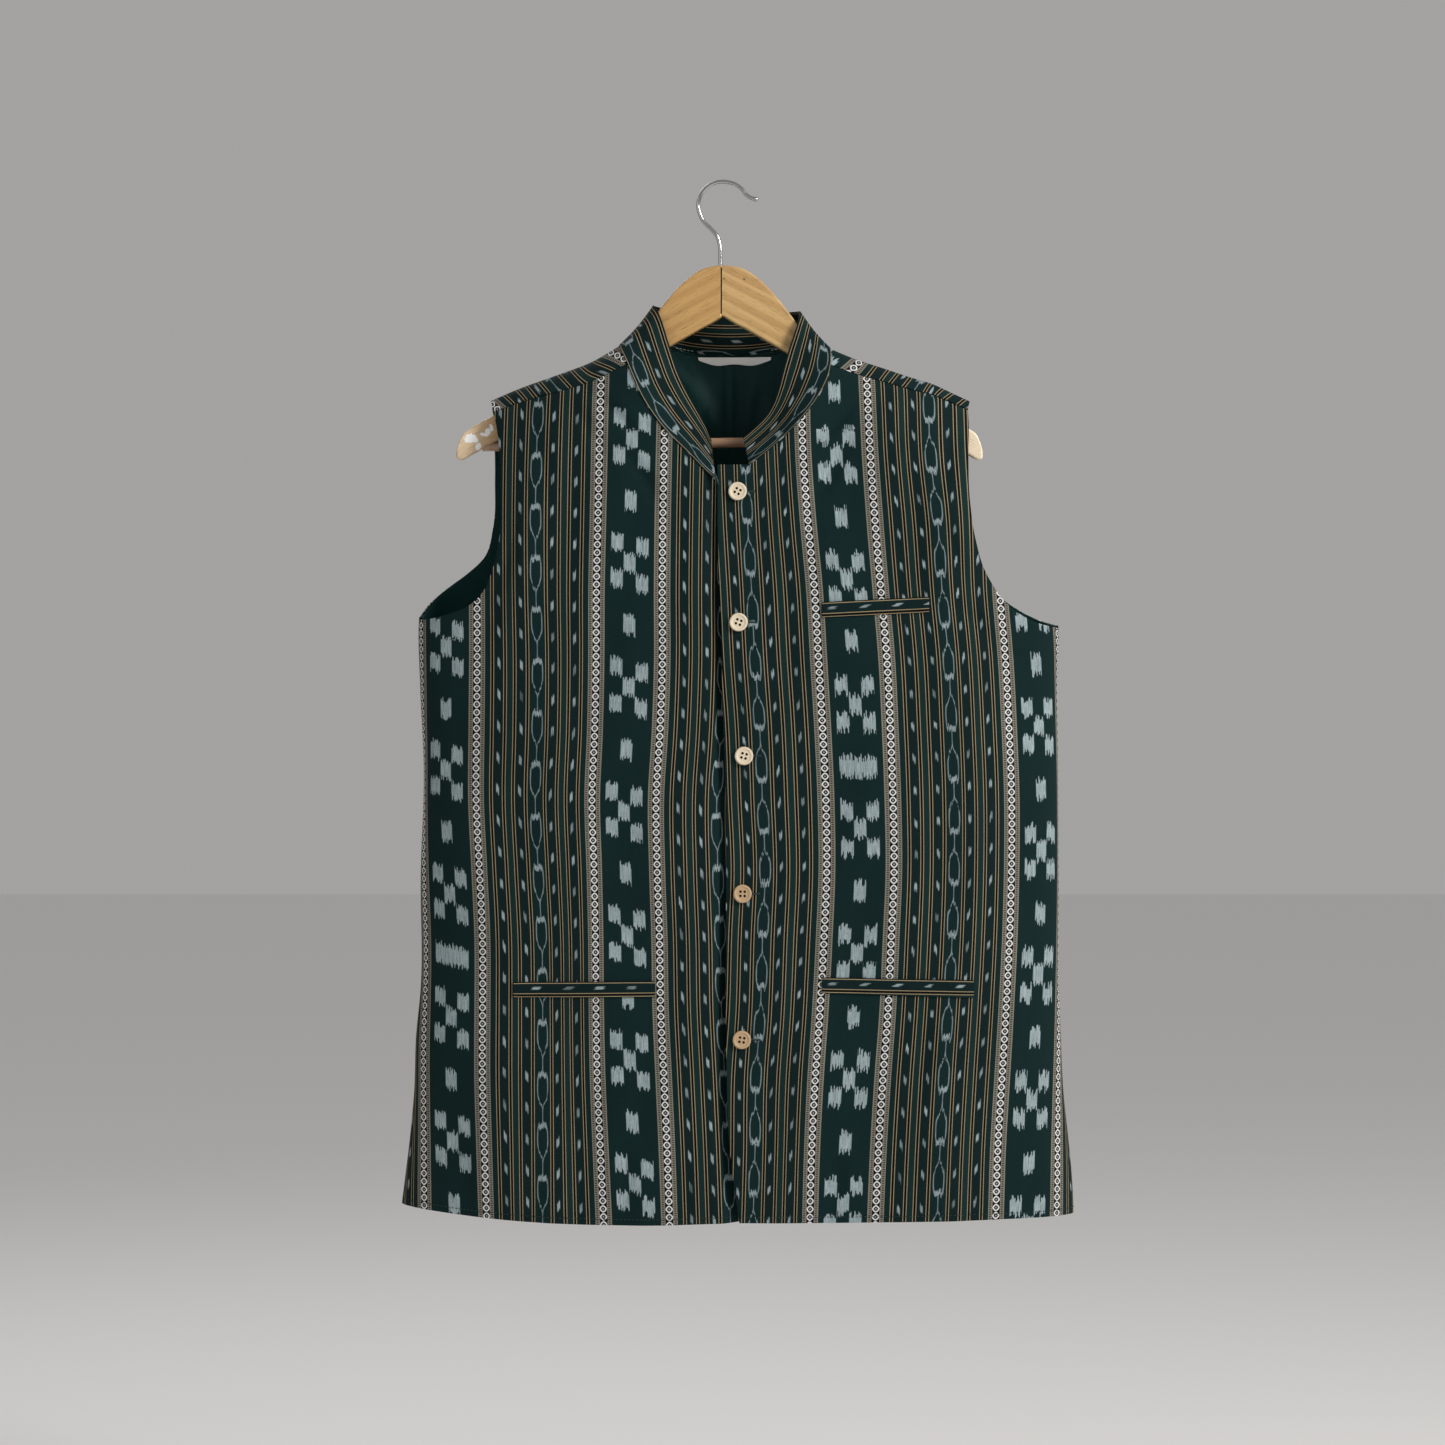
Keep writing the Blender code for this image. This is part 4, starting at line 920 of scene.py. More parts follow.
# %% Collar, welts and label
COLLAR_WALL, COLLAR_BOW, COLLAR_LIFT = 2.4, 1.2, -0.2
COLLAR_SAMPLES, COLLAR_ROWS = 330, 16
COLLAR_FIRST_U, COLLAR_LAST_U = -7.4, 30.1
WELT_COLUMNS = ("name", "left", "left_up", "right", "right_up", "left_height", "right_height")
WELTS = (
    ("welt_chest", 84.1, -366.9, 173.4, -362.6, 12.2, 12.4),
    ("welt_left", -173.0, -683.4, -54.8, -682.9, 12.2, 12.8),
    ("welt_right", 83.9, -679.5, 210.5, -683.9, 12.6, 14.2),
)
WELT_WALL, LAID_GAP, WELT_PUFF, WELT_RIM = 1.2, 0.3, 0.5, 0.35
WELT_TOP_U = 8.3
WELT_GRID, LABEL_GRID = (9, 64), (6, 60)
LABEL_LEFT, LABEL_RIGHT = -19.6, 42.7
LABEL_TOP, LABEL_DROP, LABEL_WALL = -143.2, 5.2, 0.5
LABEL_END_DROP, LABEL_DROOP, LABEL_WAVE = 0.35, 0.75, 0.45
LABEL_INSET = LINING_INSET + LINING_WALL + 1.0

rows = np.arange(len(COLLAR))
samples = np.linspace(0, len(COLLAR) - 1, COLLAR_SAMPLES)
up = np.minimum(collar["up"], ridge_at(collar["across"]))
depth = np.where(
    collar["face"] == FRONT,
    sheet_depth(FRONT, collar["across"], up),
    sheet_depth(BACK, collar["across"], up),
)
seam = np.stack([smooth(rows, values, samples) for values in (collar["across"], depth, up)], -1)
top = np.stack([smooth(rows, collar[name], samples) for name in ("top_across", "top_depth", "top_up")], -1)
rise = top - seam
start = seam + rise / np.linalg.norm(rise, axis=-1, keepdims=True) * COLLAR_LIFT
weights = np.linspace(0, 1, COLLAR_ROWS + 1)[:, None, None]
inward = np.cross(np.gradient(seam, axis=0), rise)
inward /= np.linalg.norm(inward, axis=-1, keepdims=True)
collar_points = start * (1 - weights) + top * weights + inward * COLLAR_BOW * np.sin(math.pi * weights)
run = np.cumsum(np.concatenate([[0], np.linalg.norm(np.diff((seam + top) / 2, axis=0), axis=-1)]))
collar_u = COLLAR_FIRST_U + (COLLAR_LAST_U - COLLAR_FIRST_U) * weights[..., 0] + 0 * run
collar_uv = np.stack([collar_u, run + 0 * weights[..., 0]], -1)
collar_mesh = sheet_mesh("collar_cloth", collar_points, collar_uv)
collar_piece = add_piece("collar_cloth", collar_mesh, ["collar"], COLLAR_WALL, 0.0, RIM)

welt_pieces = []
welt_high = np.linspace(0, 1, WELT_GRID[0])[:, None]
welt_along = np.linspace(0, 1, WELT_GRID[1])[None, :]
for welt in records(WELT_COLUMNS, WELTS):
    across = welt["left"] + (welt["right"] - welt["left"]) * welt_along + 0 * welt_high
    low = welt["left_up"] + (welt["right_up"] - welt["left_up"]) * welt_along
    height = welt["left_height"] + (welt["right_height"] - welt["left_height"]) * welt_along
    puff = LAID_GAP + WELT_PUFF * (1 - (2 * welt_high - 1) ** 4) * (1 - (2 * welt_along - 1) ** 20)
    points = on_front(across, low + height * welt_high, puff)
    cloth = np.stack([WELT_TOP_U + height * (1 - welt_high), across], -1)
    mesh = sheet_mesh(f"{welt['name']}_cloth", points, cloth)
    piece = add_piece(f"{welt['name']}_cloth", mesh, [welt["name"]], WELT_WALL, 1.0, WELT_RIM)
    welt_pieces.append(piece)

label_rows = np.linspace(0, 1, LABEL_GRID[0])[:, None]
label_weights = np.linspace(0, 1, LABEL_GRID[1])[None, :]
across = LABEL_LEFT + (LABEL_RIGHT - LABEL_LEFT) * label_weights + 0 * label_rows
droop = np.sin(math.pi * label_weights) ** 0.5 + LABEL_WAVE * np.sin(2 * math.pi * label_weights) ** 2
low = LABEL_TOP - LABEL_DROP * (LABEL_END_DROP + LABEL_DROOP * droop)
up = low * (1 - label_rows) + LABEL_TOP * label_rows
label_points = over_shoulder(across, up, LABEL_INSET)
label_mesh = sheet_mesh("neck_label_tape", label_points, np.stack([across, -up], -1), flip=True)
label_piece = add_piece("neck_label_tape", label_mesh, ["neck_label"], LABEL_WALL)
print("pieces laid on the cloth:", len(welt_pieces) + 1)

# %% [markdown]
# The hanger's boards, its bar, its hook and the buttons are closed solids. Each one is a ring of points
# carried along a line, with a pole in the middle of each end. Wood also keeps where each point lies
# along and across its grain, in an attribute called grain, so the figure follows each board.

# %% Closed solids from rings
ARM_COLUMNS = ("distance", "top", "bottom")
ARM = (
    (0.0, -69.1, -111.8),
    (9.0, -69.9, -117.6),
    (18.3, -72.6, -122.4),
    (27.5, -78.4, -127.7),
    (36.0, -85.8, -132.6),
    (45.0, -95.6, -137.8),
    (54.0, -107.0, -143.0),
    (64.0, -120.0, -148.7),
    (75.0, -131.6, -155.1),
    (87.0, -140.6, -162.0),
    (102.0, -148.6, -170.7),
    (128.0, -163.4, -185.7),
    (158.0, -178.6, -203.0),
    (190.0, -195.6, -218.6),
    (211.0, -207.4, -229.6),
    (218.0, -213.8, -233.2),
    (222.0, -225.0, -232.4),
)
ARM_HALF, ARM_ROUND, TIP_ROUND, MITRE_ROUND = 6.0, 1.9, 1.9, 0.35
ARM_ROWS, END_ROWS, TIP_CLEAR, TIP_CLOSE = 110, 6, 0.3, 0.98
CORNER_NUDGE = 0.9
HANGER_MIDDLE, MITRE, MITRE_REACH = 1.8, -0.4, 1.0
GRAIN_SLOPE, GRAIN_APART = 0.53, 40
TIP_SHIFT, TIP_SHIFT_START, TIP_SHIFT_SPAN = -3.0, 110.0, 70.0
BAR_RADIUS, BAR_UP, BAR_END, BAR_TILT = 4.25, -218.6, 200.0, 0.0145
BAR_ROWS, BAR_SIDES, BAR_GRAIN_START = 60, 40, 500
HOOK_COLUMNS = ("across", "up")
HOOK = (
    (-0.4, -80.0),
    (-0.6, -66.0),
    (-0.9, -53.2),
    (-3.0, -44.7),
    (-8.2, -38.2),
    (-14.6, -31.8),
    (-18.4, -23.6),
    (-19.2, -16.0),
    (-16.2, -7.4),
    (-8.6, -0.4),
    (0.6, 1.95),
    (10.2, 0.5),
    (17.0, -3.7),
    (21.1, -8.8),
    (25.0, -11.6),
    (28.4, -12.6),
)
WIRE_RADIUS, BALL_RADIUS, BALL_ROWS, BALL_END = 1.75, 2.1, 14, 0.05
HOOK_ROWS, WIRE_SIDES = 180, 24


def ring_squares(count, sides):
    """Squares between neighbouring rings of points, as four point numbers each."""
    this = np.arange(count - 1)[:, None] * sides + np.arange(sides)
    after = np.arange(count - 1)[:, None] * sides + (np.arange(sides) + 1) % sides
    return np.stack([this, after, sides + after, sides + this], -1).reshape(-1, 4)


def smooth_mesh(name, points, faces):
    """A mesh of points in millimetres and faces, shaded smooth."""
    mesh = bpy.data.meshes.new(name)
    mesh.from_pydata((points * MM).tolist(), [], faces)
    mesh.polygons.foreach_set("use_smooth", np.ones(len(mesh.polygons), bool))
    mesh.update()
    return mesh


def solid_mesh(name, rings, grain=None):
    """A closed surface: squares between neighbouring rings and a fan of triangles to a pole at each end."""
    count, sides = rings.shape[:2]
    points = np.concatenate([rings.reshape(-1, 3), rings[:1].mean(1), rings[-1:].mean(1)])
    this, after = np.arange(sides), (np.arange(sides) + 1) % sides
    last = (count - 1) * sides
    fans = np.concatenate(
        [
            np.stack([np.full(sides, count * sides), after, this], -1),
            np.stack([np.full(sides, count * sides + 1), last + this, last + after], -1),
        ]
    )
    mesh = smooth_mesh(name, points, ring_squares(count, sides).tolist() + fans.tolist())
    if grain is not None:
        layer = mesh.attributes.new("grain", "FLOAT_VECTOR", "POINT")
        values = np.concatenate([grain.reshape(-1, 3), grain[:1].mean(1), grain[-1:].mean(1)])
        layer.data.foreach_set("vector", values.ravel())
    return mesh


def rounded_section(half_width, low, high, radius):
    """A rectangle with round corners: each corner's arc, moved to its place, with a point beside it."""
    turns = np.radians([-90, -90, -60, -30, 0, 0])
    nudge = np.array([[-CORNER_NUDGE, 0, 0, 0, 0, 0], [0, 0, 0, 0, 0, CORNER_NUDGE]])
    wide, tall = [], []
    for quarter, (side, level) in enumerate(((1, 0), (1, 1), (-1, 1), (-1, 0))):
        angle = turns + quarter * math.pi / 2
        push = radius * np.array([math.cos(quarter * math.pi / 2), math.sin(quarter * math.pi / 2)])
        move_x = nudge[0] * push[0] - nudge[1] * push[1]
        move_z = nudge[0] * push[1] + nudge[1] * push[0]
        wide.append(side * (half_width - radius)[:, None] + radius * np.cos(angle) + move_x)
        corner = np.where(level, high - radius, low + radius)[:, None]
        tall.append(corner + radius * np.sin(angle) + move_z)
    return np.concatenate(wide, 1), np.concatenate(tall, 1)


def arm_mesh(name, side):
    """One board: a rounded section at each distance from the mitre, which shrinks into each end.

    The tips lie TIP_SHIFT to the side of where the mitre's middle would put them.
    """
    arm = columns(ARM_COLUMNS, ARM)
    end = arm["distance"][-1]
    turn = np.linspace(0, math.pi / 2, END_ROWS)
    near = MITRE_ROUND * (1 - np.cos(turn))
    far = end - TIP_ROUND + TIP_ROUND * np.sin(turn)
    distance = np.concatenate([near, np.linspace(MITRE_REACH, end - TIP_ROUND - TIP_CLEAR, ARM_ROWS), far])
    shrink = np.zeros(len(distance))
    shrink[:END_ROWS] = MITRE_ROUND * (1 - np.sin(turn))
    shrink[-END_ROWS:] = TIP_ROUND * (1 - np.cos(turn)) * TIP_CLOSE
    high = smooth(arm["distance"], arm["top"], distance) - shrink
    low = smooth(arm["distance"], arm["bottom"], distance) + shrink
    across = HANGER_MIDDLE + side * distance
    start = MITRE + side * SEAM_GAP / 2
    off_mitre = (across - start) * np.clip(distance / MITRE_REACH, 0, 1)
    across = start + off_mitre + side * distance * (distance < MITRE_REACH)
    across = across + TIP_SHIFT * smoothstep((distance - TIP_SHIFT_START) / TIP_SHIFT_SPAN)
    depth, up = rounded_section(ARM_HALF - shrink, low, high, ARM_ROUND)
    rings = np.stack([np.broadcast_to(across[:, None], up.shape), depth * side, up], -1)
    along = np.broadcast_to(distance[:, None], up.shape)
    beside = up + GRAIN_SLOPE * along
    grain = np.stack([along * math.hypot(1, GRAIN_SLOPE), beside + GRAIN_APART * side, rings[..., 1]], -1)
    return solid_mesh(name, rings, grain)


def wire_rings(path, radii, sides):
    """Circles about a path in the XZ plane: the path's point plus radius times (cos normal + sin Y)."""
    tangent = np.gradient(path, axis=0)
    tangent /= np.linalg.norm(tangent, axis=1, keepdims=True)
    normal = np.stack([-tangent[:, 1], tangent[:, 0]], -1)
    turn = np.linspace(0, 2 * math.pi, sides, endpoint=False)
    flat = path[:, None, :] + radii[:, None, None] * np.cos(turn)[:, None] * normal[:, None, :]
    depth = radii[:, None] * np.sin(turn)
    return np.stack([flat[..., 0], depth, flat[..., 1]], -1)


def hook_mesh():
    """The hook: a wire along its table's curve, which swells to a ball at the tip."""
    hook = columns(HOOK_COLUMNS, HOOK)
    samples = np.linspace(0, len(HOOK) - 1, HOOK_ROWS)
    path = np.stack([smooth(np.arange(len(HOOK)), hook[name], samples) for name in HOOK_COLUMNS], -1)
    heading = path[-1] - path[-2]
    heading /= np.linalg.norm(heading)
    neck = math.sqrt(BALL_RADIUS**2 - WIRE_RADIUS**2)
    turn = np.linspace(math.acos(neck / BALL_RADIUS), math.pi - BALL_END, BALL_ROWS)[1:]
    place = BALL_RADIUS * -np.cos(turn)
    path = np.concatenate([path, path[-1] + heading * (place + neck)[:, None]])
    radii = np.concatenate([np.full(HOOK_ROWS, WIRE_RADIUS), np.sqrt(BALL_RADIUS**2 - place**2)])
    return solid_mesh("hook_wire", wire_rings(path, radii, WIRE_SIDES))


hanger_pieces = []
for name, side in (("left", -1), ("right", 1)):
    node = f"hanger_arm_{name}"
    hanger_pieces.append(add_piece(f"{node}_wood", arm_mesh(f"{node}_wood", side), [node]))
bar_x = HANGER_MIDDLE + TIP_SHIFT + np.linspace(-BAR_END, BAR_END, BAR_ROWS)
bar_path = np.stack([bar_x, BAR_UP + BAR_TILT * bar_x], -1)
bar_rings = wire_rings(bar_path, np.full(BAR_ROWS, BAR_RADIUS), BAR_SIDES)
bar_grain = np.stack([bar_rings[..., 0] + BAR_GRAIN_START, bar_rings[..., 2], bar_rings[..., 1]], -1)
bar_mesh = solid_mesh("hanger_bar_wood", bar_rings, bar_grain)
hanger_pieces.append(add_piece("hanger_bar_wood", bar_mesh, ["hanger_bar"]))
hook_piece = add_piece("hook_wire", hook_mesh(), ["hanger_hook"])
print("squares in a board:", len(hanger_pieces[0].data.polygons))

# %% [markdown]
# A button is turned on a lathe: a profile of radius and height goes round its middle. Its face is a
# dish inside a raised rim, and four holes are pressed into it where the distance to a hole is small.

# %% Buttons
BUTTON_RADIUS, BUTTON_THICKNESS = 7.7, 3.0
EDGE_ROUND, EDGE_POWER, RIM_START = 1.1, 0.8, 1.3
BACK_RINGS, EDGE_RINGS, RIM_RINGS, FACE_RINGS, FACE_END = (0.4, 3.0, 6.0), 13, 8, 42, 0.12
DISH_RADIUS, DISH_DEPTH, DISH_SLOPE = 5.5, 0.55, 0.7
HOLE_RADIUS, HOLE_REACH, HOLE_DEPTH, HOLE_SLOPE = 0.95, 2.5, 2.6, 0.22
# Below HOLE_FLOOR a hole's wood gets painted shade.
HOLE_FLOOR = 1.9
BUTTON_TURNS = (17.0, 24.0, 30.0, 44.0, 36.0)
BUTTON_SIDES = 96
BUTTON_GRAIN_APART = 37.0


def button_rings(turn):
    """A button's rings: out along its back, round its edge, over its rim and in along its dish."""
    corner = np.linspace(-math.pi / 2, math.pi / 2, EDGE_RINGS)
    half = BUTTON_THICKNESS / 2
    edge_r = BUTTON_RADIUS - EDGE_ROUND + EDGE_ROUND * np.cos(corner) ** EDGE_POWER
    edge_z = half + half * np.sin(corner)
    rim_r = np.linspace(BUTTON_RADIUS - RIM_START, DISH_RADIUS - DISH_SLOPE, RIM_RINGS)
    dish = smoothstep((DISH_RADIUS + DISH_SLOPE - rim_r) / (2 * DISH_SLOPE))
    rim_z = BUTTON_THICKNESS - DISH_DEPTH * dish
    face_r = np.linspace(DISH_RADIUS - DISH_SLOPE, FACE_END, FACE_RINGS)[1:]
    face_z = np.full(len(face_r), BUTTON_THICKNESS - DISH_DEPTH)
    radius = np.concatenate([BACK_RINGS, edge_r, rim_r, face_r])
    height = np.concatenate([np.zeros(len(BACK_RINGS)), edge_z, rim_z, face_z])
    angle = np.linspace(0, 2 * math.pi, BUTTON_SIDES, endpoint=False)
    x, y = radius[:, None] * np.cos(angle), radius[:, None] * np.sin(angle)
    z = np.broadcast_to(height[:, None], x.shape).copy()
    holes = math.radians(turn) + np.arange(4) * math.pi / 2
    away = np.min([np.hypot(x - HOLE_REACH * math.cos(a), y - HOLE_REACH * math.sin(a)) for a in holes], 0)
    pressed = smoothstep((HOLE_RADIUS + HOLE_SLOPE - away) / (2 * HOLE_SLOPE)) * (z > half)
    z -= pressed * (z - BUTTON_THICKNESS + HOLE_DEPTH)
    return np.stack([x, y, z], -1)


button_pieces = []
for i, (across, up) in enumerate(BUTTONS):
    seat, out = (on_front(np.array(across), np.array(up), away) for away in (LAID_GAP, LAID_GAP + 1))
    normal = out - seat
    right = np.array([1, 0, 0]) - normal[0] * normal
    right /= np.linalg.norm(right)
    axes = np.stack([right, np.cross(normal, right), normal])
    turned = button_rings(BUTTON_TURNS[i])
    rings = seat + turned @ axes
    # The grain's third number marks the deep part of each hole, where the wood gets painted shade.
    deep = (turned[..., 2] < HOLE_FLOOR) & (np.hypot(turned[..., 0], turned[..., 1]) < DISH_RADIUS - 1)
    grain = np.stack([turned[..., 0] + BUTTON_GRAIN_APART * i, turned[..., 1], 1.0 * deep], -1)
    mesh = solid_mesh(f"button_{i + 1}_wood", rings, grain)
    button_pieces.append(add_piece(f"button_{i + 1}_wood", mesh, [f"button_{i + 1}"]))
print("buttons:", len(button_pieces))

# %% [markdown]
# Sewing shows as small raised stitches: a row along each hem, a worked buttonhole beside each button,
# and a short pale row inside the collar on each side. A dark thread end hangs under the collar's point.
# A stitch is a thin capsule that sinks at both ends. One mesh holds a whole row of them.

# %% Stitches
STITCH_LENGTH, STITCH_GAP, STITCH_RADIUS = 2.5, 0.9, 0.28
STITCH_LIFT, ROW_START = 0.1, 2.0
BUTTONHOLE_START, BUTTONHOLE_LENGTH, BUTTONHOLE_HALF = 5.5, 9.0, 0.9
BUTTONHOLE_PITCH, BUTTONHOLE_LEAN, BUTTONHOLE_RADIUS = 0.55, 0.2, 0.3
NECK_STITCH_COLUMNS = ("side", "first_row", "last_row")
NECK_STITCHES = (("left", 12.2, 13.1), ("right", 15.5, 16.1))
NECK_STITCH_RISE = 0.05
THREAD_END_COLUMNS = ("across", "up", "to_across", "to_up")
THREAD_ENDS = (
    (-7.4, -247.6, -3.2, -252.8),
    (-5.6, -246.2, -2.0, -254.6),
    (-3.8, -251.0, -1.6, -257.4),
    (-4.4, -252.2, -4.8, -258.0),
)
THREAD_END_OUT, THREAD_END_RADIUS = 2.2, 0.62


def capsules(name, start, end, outward, radius):
    """One closed capsule from each start to its end: six rings of five points that swell in the middle.

    The rings turn the other way here than on a solid, so the corners of each square are taken backwards.
    """
    share = np.array([0.0, 0.12, 0.35, 0.65, 0.88, 1.0])
    swell = np.array([0.25, 0.8, 1.0, 1.0, 0.8, 0.25])
    lift = np.array([-0.9, 0.1, 0.6, 0.6, 0.1, -0.9]) * radius
    axis = end - start
    side = np.cross(axis, outward)
    side /= np.linalg.norm(side, axis=1, keepdims=True)
    middle = start[:, None] + axis[:, None] * share[:, None] + outward[:, None] * lift[:, None]
    turn = np.linspace(0, 2 * math.pi, 5, endpoint=False)
    circle = np.cos(turn)[:, None] * side[:, None, None] + np.sin(turn)[:, None] * outward[:, None, None]
    rings = middle[:, :, None] + radius * swell[:, None, None] * circle
    count, sides = len(share), len(turn)
    squares = np.roll(ring_squares(count, sides)[:, ::-1], 1, axis=1)
    first_end = np.arange(sides)
    last_end = first_end[::-1] + (count - 1) * sides
    each = np.arange(len(start))[:, None, None] * count * sides
    squares = (squares[None] + each).reshape(-1, 4)
    ends = (np.stack([first_end, last_end])[None] + each).reshape(-1, sides)
    return smooth_mesh(name, rings.reshape(-1, 3), squares.tolist() + ends.tolist())


def along_line(where, lengths, values):
    """Three values of a line at each length in where."""
    return np.stack([np.interp(where, lengths, values[:, k]) for k in range(3)], -1)


def hem_path(points, face):
    """The line that runs HEM_FOLD above a panel's lower edge, and the way out of the cloth there."""
    upward = points.swapaxes(0, 1)
    line = np.array([along_line(HEM_FOLD, *column) for column in zip(row_lengths(upward), upward)])
    step = np.gradient(line, axis=0)
    outward = np.cross(step, [0.0, 0.0, 1.0]) * (1 if face == FRONT else -1)
    return line, outward / np.linalg.norm(outward, axis=1, keepdims=True)


def stitch_row(name, line, outward, away=STITCH_LIFT):
    """Stitches at an even pitch along a line, on the side of the cloth that outward names."""
    length = np.concatenate([[0], np.cumsum(np.linalg.norm(np.diff(line, axis=0), axis=1))])
    begin = np.arange(ROW_START, length[-1] - STITCH_LENGTH, STITCH_LENGTH + STITCH_GAP)
    out = along_line(begin + STITCH_LENGTH / 2, length, outward)
    first = along_line(begin, length, line) + out * away
    last = along_line(begin + STITCH_LENGTH, length, line) + out * away
    return capsules(name, first, last, out, STITCH_RADIUS)


stitch_pieces = []
for name, points, face in (
    ("front_right", rolled(right_front, right_present), FRONT),
    ("front_left", rolled(left_front, left_present), FRONT),
    ("back", back_points, BACK),
):
    mesh = stitch_row(f"{name}_hem_stitches", *hem_path(points, face))
    stitch_pieces.append(add_piece(f"{name}_hem_stitches", mesh, []))
begin, end = [], []
for across, up in BUTTONS:
    x = across + BUTTONHOLE_START + np.arange(0, BUTTONHOLE_LENGTH, BUTTONHOLE_PITCH)
    begin.append(np.stack([x, np.full_like(x, up - BUTTONHOLE_HALF)], -1))
    end.append(np.stack([x + BUTTONHOLE_LEAN, np.full_like(x, up + BUTTONHOLE_HALF)], -1))
begin, end = np.concatenate(begin), np.concatenate(end)
surface = on_front(begin[:, 0], begin[:, 1], STITCH_LIFT)
outward = on_front(begin[:, 0], begin[:, 1], STITCH_LIFT + 1) - surface
end = on_front(end[:, 0], end[:, 1], STITCH_LIFT)
mesh = capsules("buttonhole_stitches", surface, end, outward, BUTTONHOLE_RADIUS)
stitch_pieces.append(add_piece("buttonhole_stitches", mesh, []))
thread_end = columns(THREAD_END_COLUMNS, THREAD_ENDS)
begin = on_front(thread_end["across"], thread_end["up"], THREAD_END_OUT)
end = on_front(thread_end["to_across"], thread_end["to_up"], THREAD_END_OUT / 2)
outward = np.tile([0.0, -1.0, 0.0], (len(THREAD_ENDS), 1))
mesh = capsules("collar_thread_end", begin, end, outward, THREAD_END_RADIUS)
stitch_pieces.append(add_piece("collar_thread_end", mesh, []))
pale_pieces = []
bow = inward * COLLAR_BOW * math.sin(math.pi * NECK_STITCH_RISE)
for run in records(NECK_STITCH_COLUMNS, NECK_STITCHES):
    chosen = (samples >= run["first_row"]) & (samples <= run["last_row"])
    line = (start + NECK_STITCH_RISE * rise + bow)[chosen]
    name = f"neck_stitches_{run['side']}"
    mesh = stitch_row(name, line, inward[chosen], COLLAR_WALL / 2 + STITCH_LIFT)
    pale_pieces.append(add_piece(name, mesh, []))
print("pieces of thread:", len(stitch_pieces) + len(pale_pieces))

# %% [markdown]
# A material's sums are easier to read as Python than as boxes and wires. This small class keeps a
# socket and turns each sum into one Math node. The functions below it add the other nodes.

# %% Sums as nodes
def feed(tree, inlet, item):
    """Links a sum or a socket to an inlet, or sets the inlet to a number or a colour."""
    if isinstance(item, Sum):
        tree.links.new(item.socket, inlet)
    elif isinstance(item, bpy.types.NodeSocket):
        tree.links.new(item, inlet)
    elif isinstance(item, tuple):
        inlet.default_value = (*item, 1)
    else:
        inlet.default_value = item


class Sum:
    """A number in a material. Each operation on it adds one Math node."""

    def __init__(self, tree, socket):
        self.tree, self.socket = tree, socket

    def node(self, operation, *others, clamp=False):
        """One Math node, fed with this number and the others."""
        made = self.tree.nodes.new("ShaderNodeMath")
        made.operation, made.use_clamp = operation, clamp
        for inlet, item in zip(made.inputs, (self, *others)):
            feed(self.tree, inlet, item)
        return Sum(self.tree, made.outputs[0])

    def __add__(self, other):
        return self.node("ADD", other)

    def __sub__(self, other):
        return self.node("SUBTRACT", other)

    def __mul__(self, other):
        return self.node("MULTIPLY", other)

    def size(self):
        """The number without its sign."""
        return self.node("ABSOLUTE")

    def larger(self, other):
        """The larger of this number and another."""
        return self.node("MAXIMUM", other)

    def clipped(self, low=0.0, high=1.0):
        """The number kept between low and high."""
        return self.node("MINIMUM", high).node("MAXIMUM", low)

    def within(self, half, soft=0.25):
        """1 where the size is under half and 0 beyond it, with a soft edge."""
        return self.size().node("MULTIPLY_ADD", -1 / soft, half / soft + 0.5, clamp=True)

    def repeat(self, period, start=0.0):
        """The number wrapped to half a period on either side of 0, with 0 at start."""
        return (self - start).node("WRAP", period / 2, -period / 2)


def new_material(name, roughness, metallic=0.0, **constants):
    """A Principled material with its constant sockets set, and its tree and shader."""
    material = bpy.data.materials.new(name)
    material.use_nodes = True
    shader = material.node_tree.nodes["Principled BSDF"]
    shader.inputs["Roughness"].default_value = roughness
    shader.inputs["Metallic"].default_value = metallic
    for socket, value in constants.items():
        shader.inputs[socket.replace("_", " ")].default_value = value
    return material, material.node_tree, shader


def noise(tree, vector, scale, detail):
    """A noise texture's value on a vector socket."""
    made = tree.nodes.new("ShaderNodeTexNoise")
    made.inputs["Scale"].default_value = scale
    made.inputs["Detail"].default_value = detail
    feed(tree, made.inputs["Vector"], vector)
    return Sum(tree, made.outputs["Fac"])


def vector_of(tree, x, y, z=0.0):
    """Three numbers as one vector socket."""
    made = tree.nodes.new("ShaderNodeCombineXYZ")
    for inlet, item in zip(made.inputs, (x, y, z)):
        feed(tree, inlet, item)
    return made.outputs[0]


def noise_at(tree, detail, x, y, z=0.0):
    """A noise texture's value at three numbers, where one step of a number is one cell."""
    return noise(tree, vector_of(tree, x, y, z), 1.0, detail)


def parts_of(tree, socket):
    """A vector socket's three numbers."""
    split = tree.nodes.new("ShaderNodeSeparateXYZ")
    tree.links.new(socket, split.inputs[0])
    return [Sum(tree, number) for number in split.outputs[:3]]


def cloth_place(tree):
    """U and V of the cloth's own map, in millimetres."""
    uv = tree.nodes.new("ShaderNodeUVMap")
    uv.uv_map = "cloth"
    return parts_of(tree, uv.outputs[0])[:2]


def object_place(tree):
    """A point's own place in metres, as a vector socket."""
    return tree.nodes.new("ShaderNodeTexCoord").outputs["Object"]


def mixed(tree, amount, low, high, blend="MIX"):
    """A colour between two others by an amount."""
    made = tree.nodes.new("ShaderNodeMix")
    made.data_type, made.blend_type = "RGBA", blend
    for inlet, item in ((made.inputs[0], amount), (made.inputs[6], low), (made.inputs[7], high)):
        feed(tree, inlet, item)
    return made.outputs[2]


def bumped(tree, shader, height, distance, strength):
    """Links a height, in steps of distance metres, to the shader's normal."""
    bump = tree.nodes.new("ShaderNodeBump")
    bump.inputs["Distance"].default_value = distance
    bump.inputs["Strength"].default_value = strength
    feed(tree, bump.inputs["Height"], height)
    tree.links.new(bump.outputs[0], shader.inputs["Normal"])


print("sums as nodes are ready")

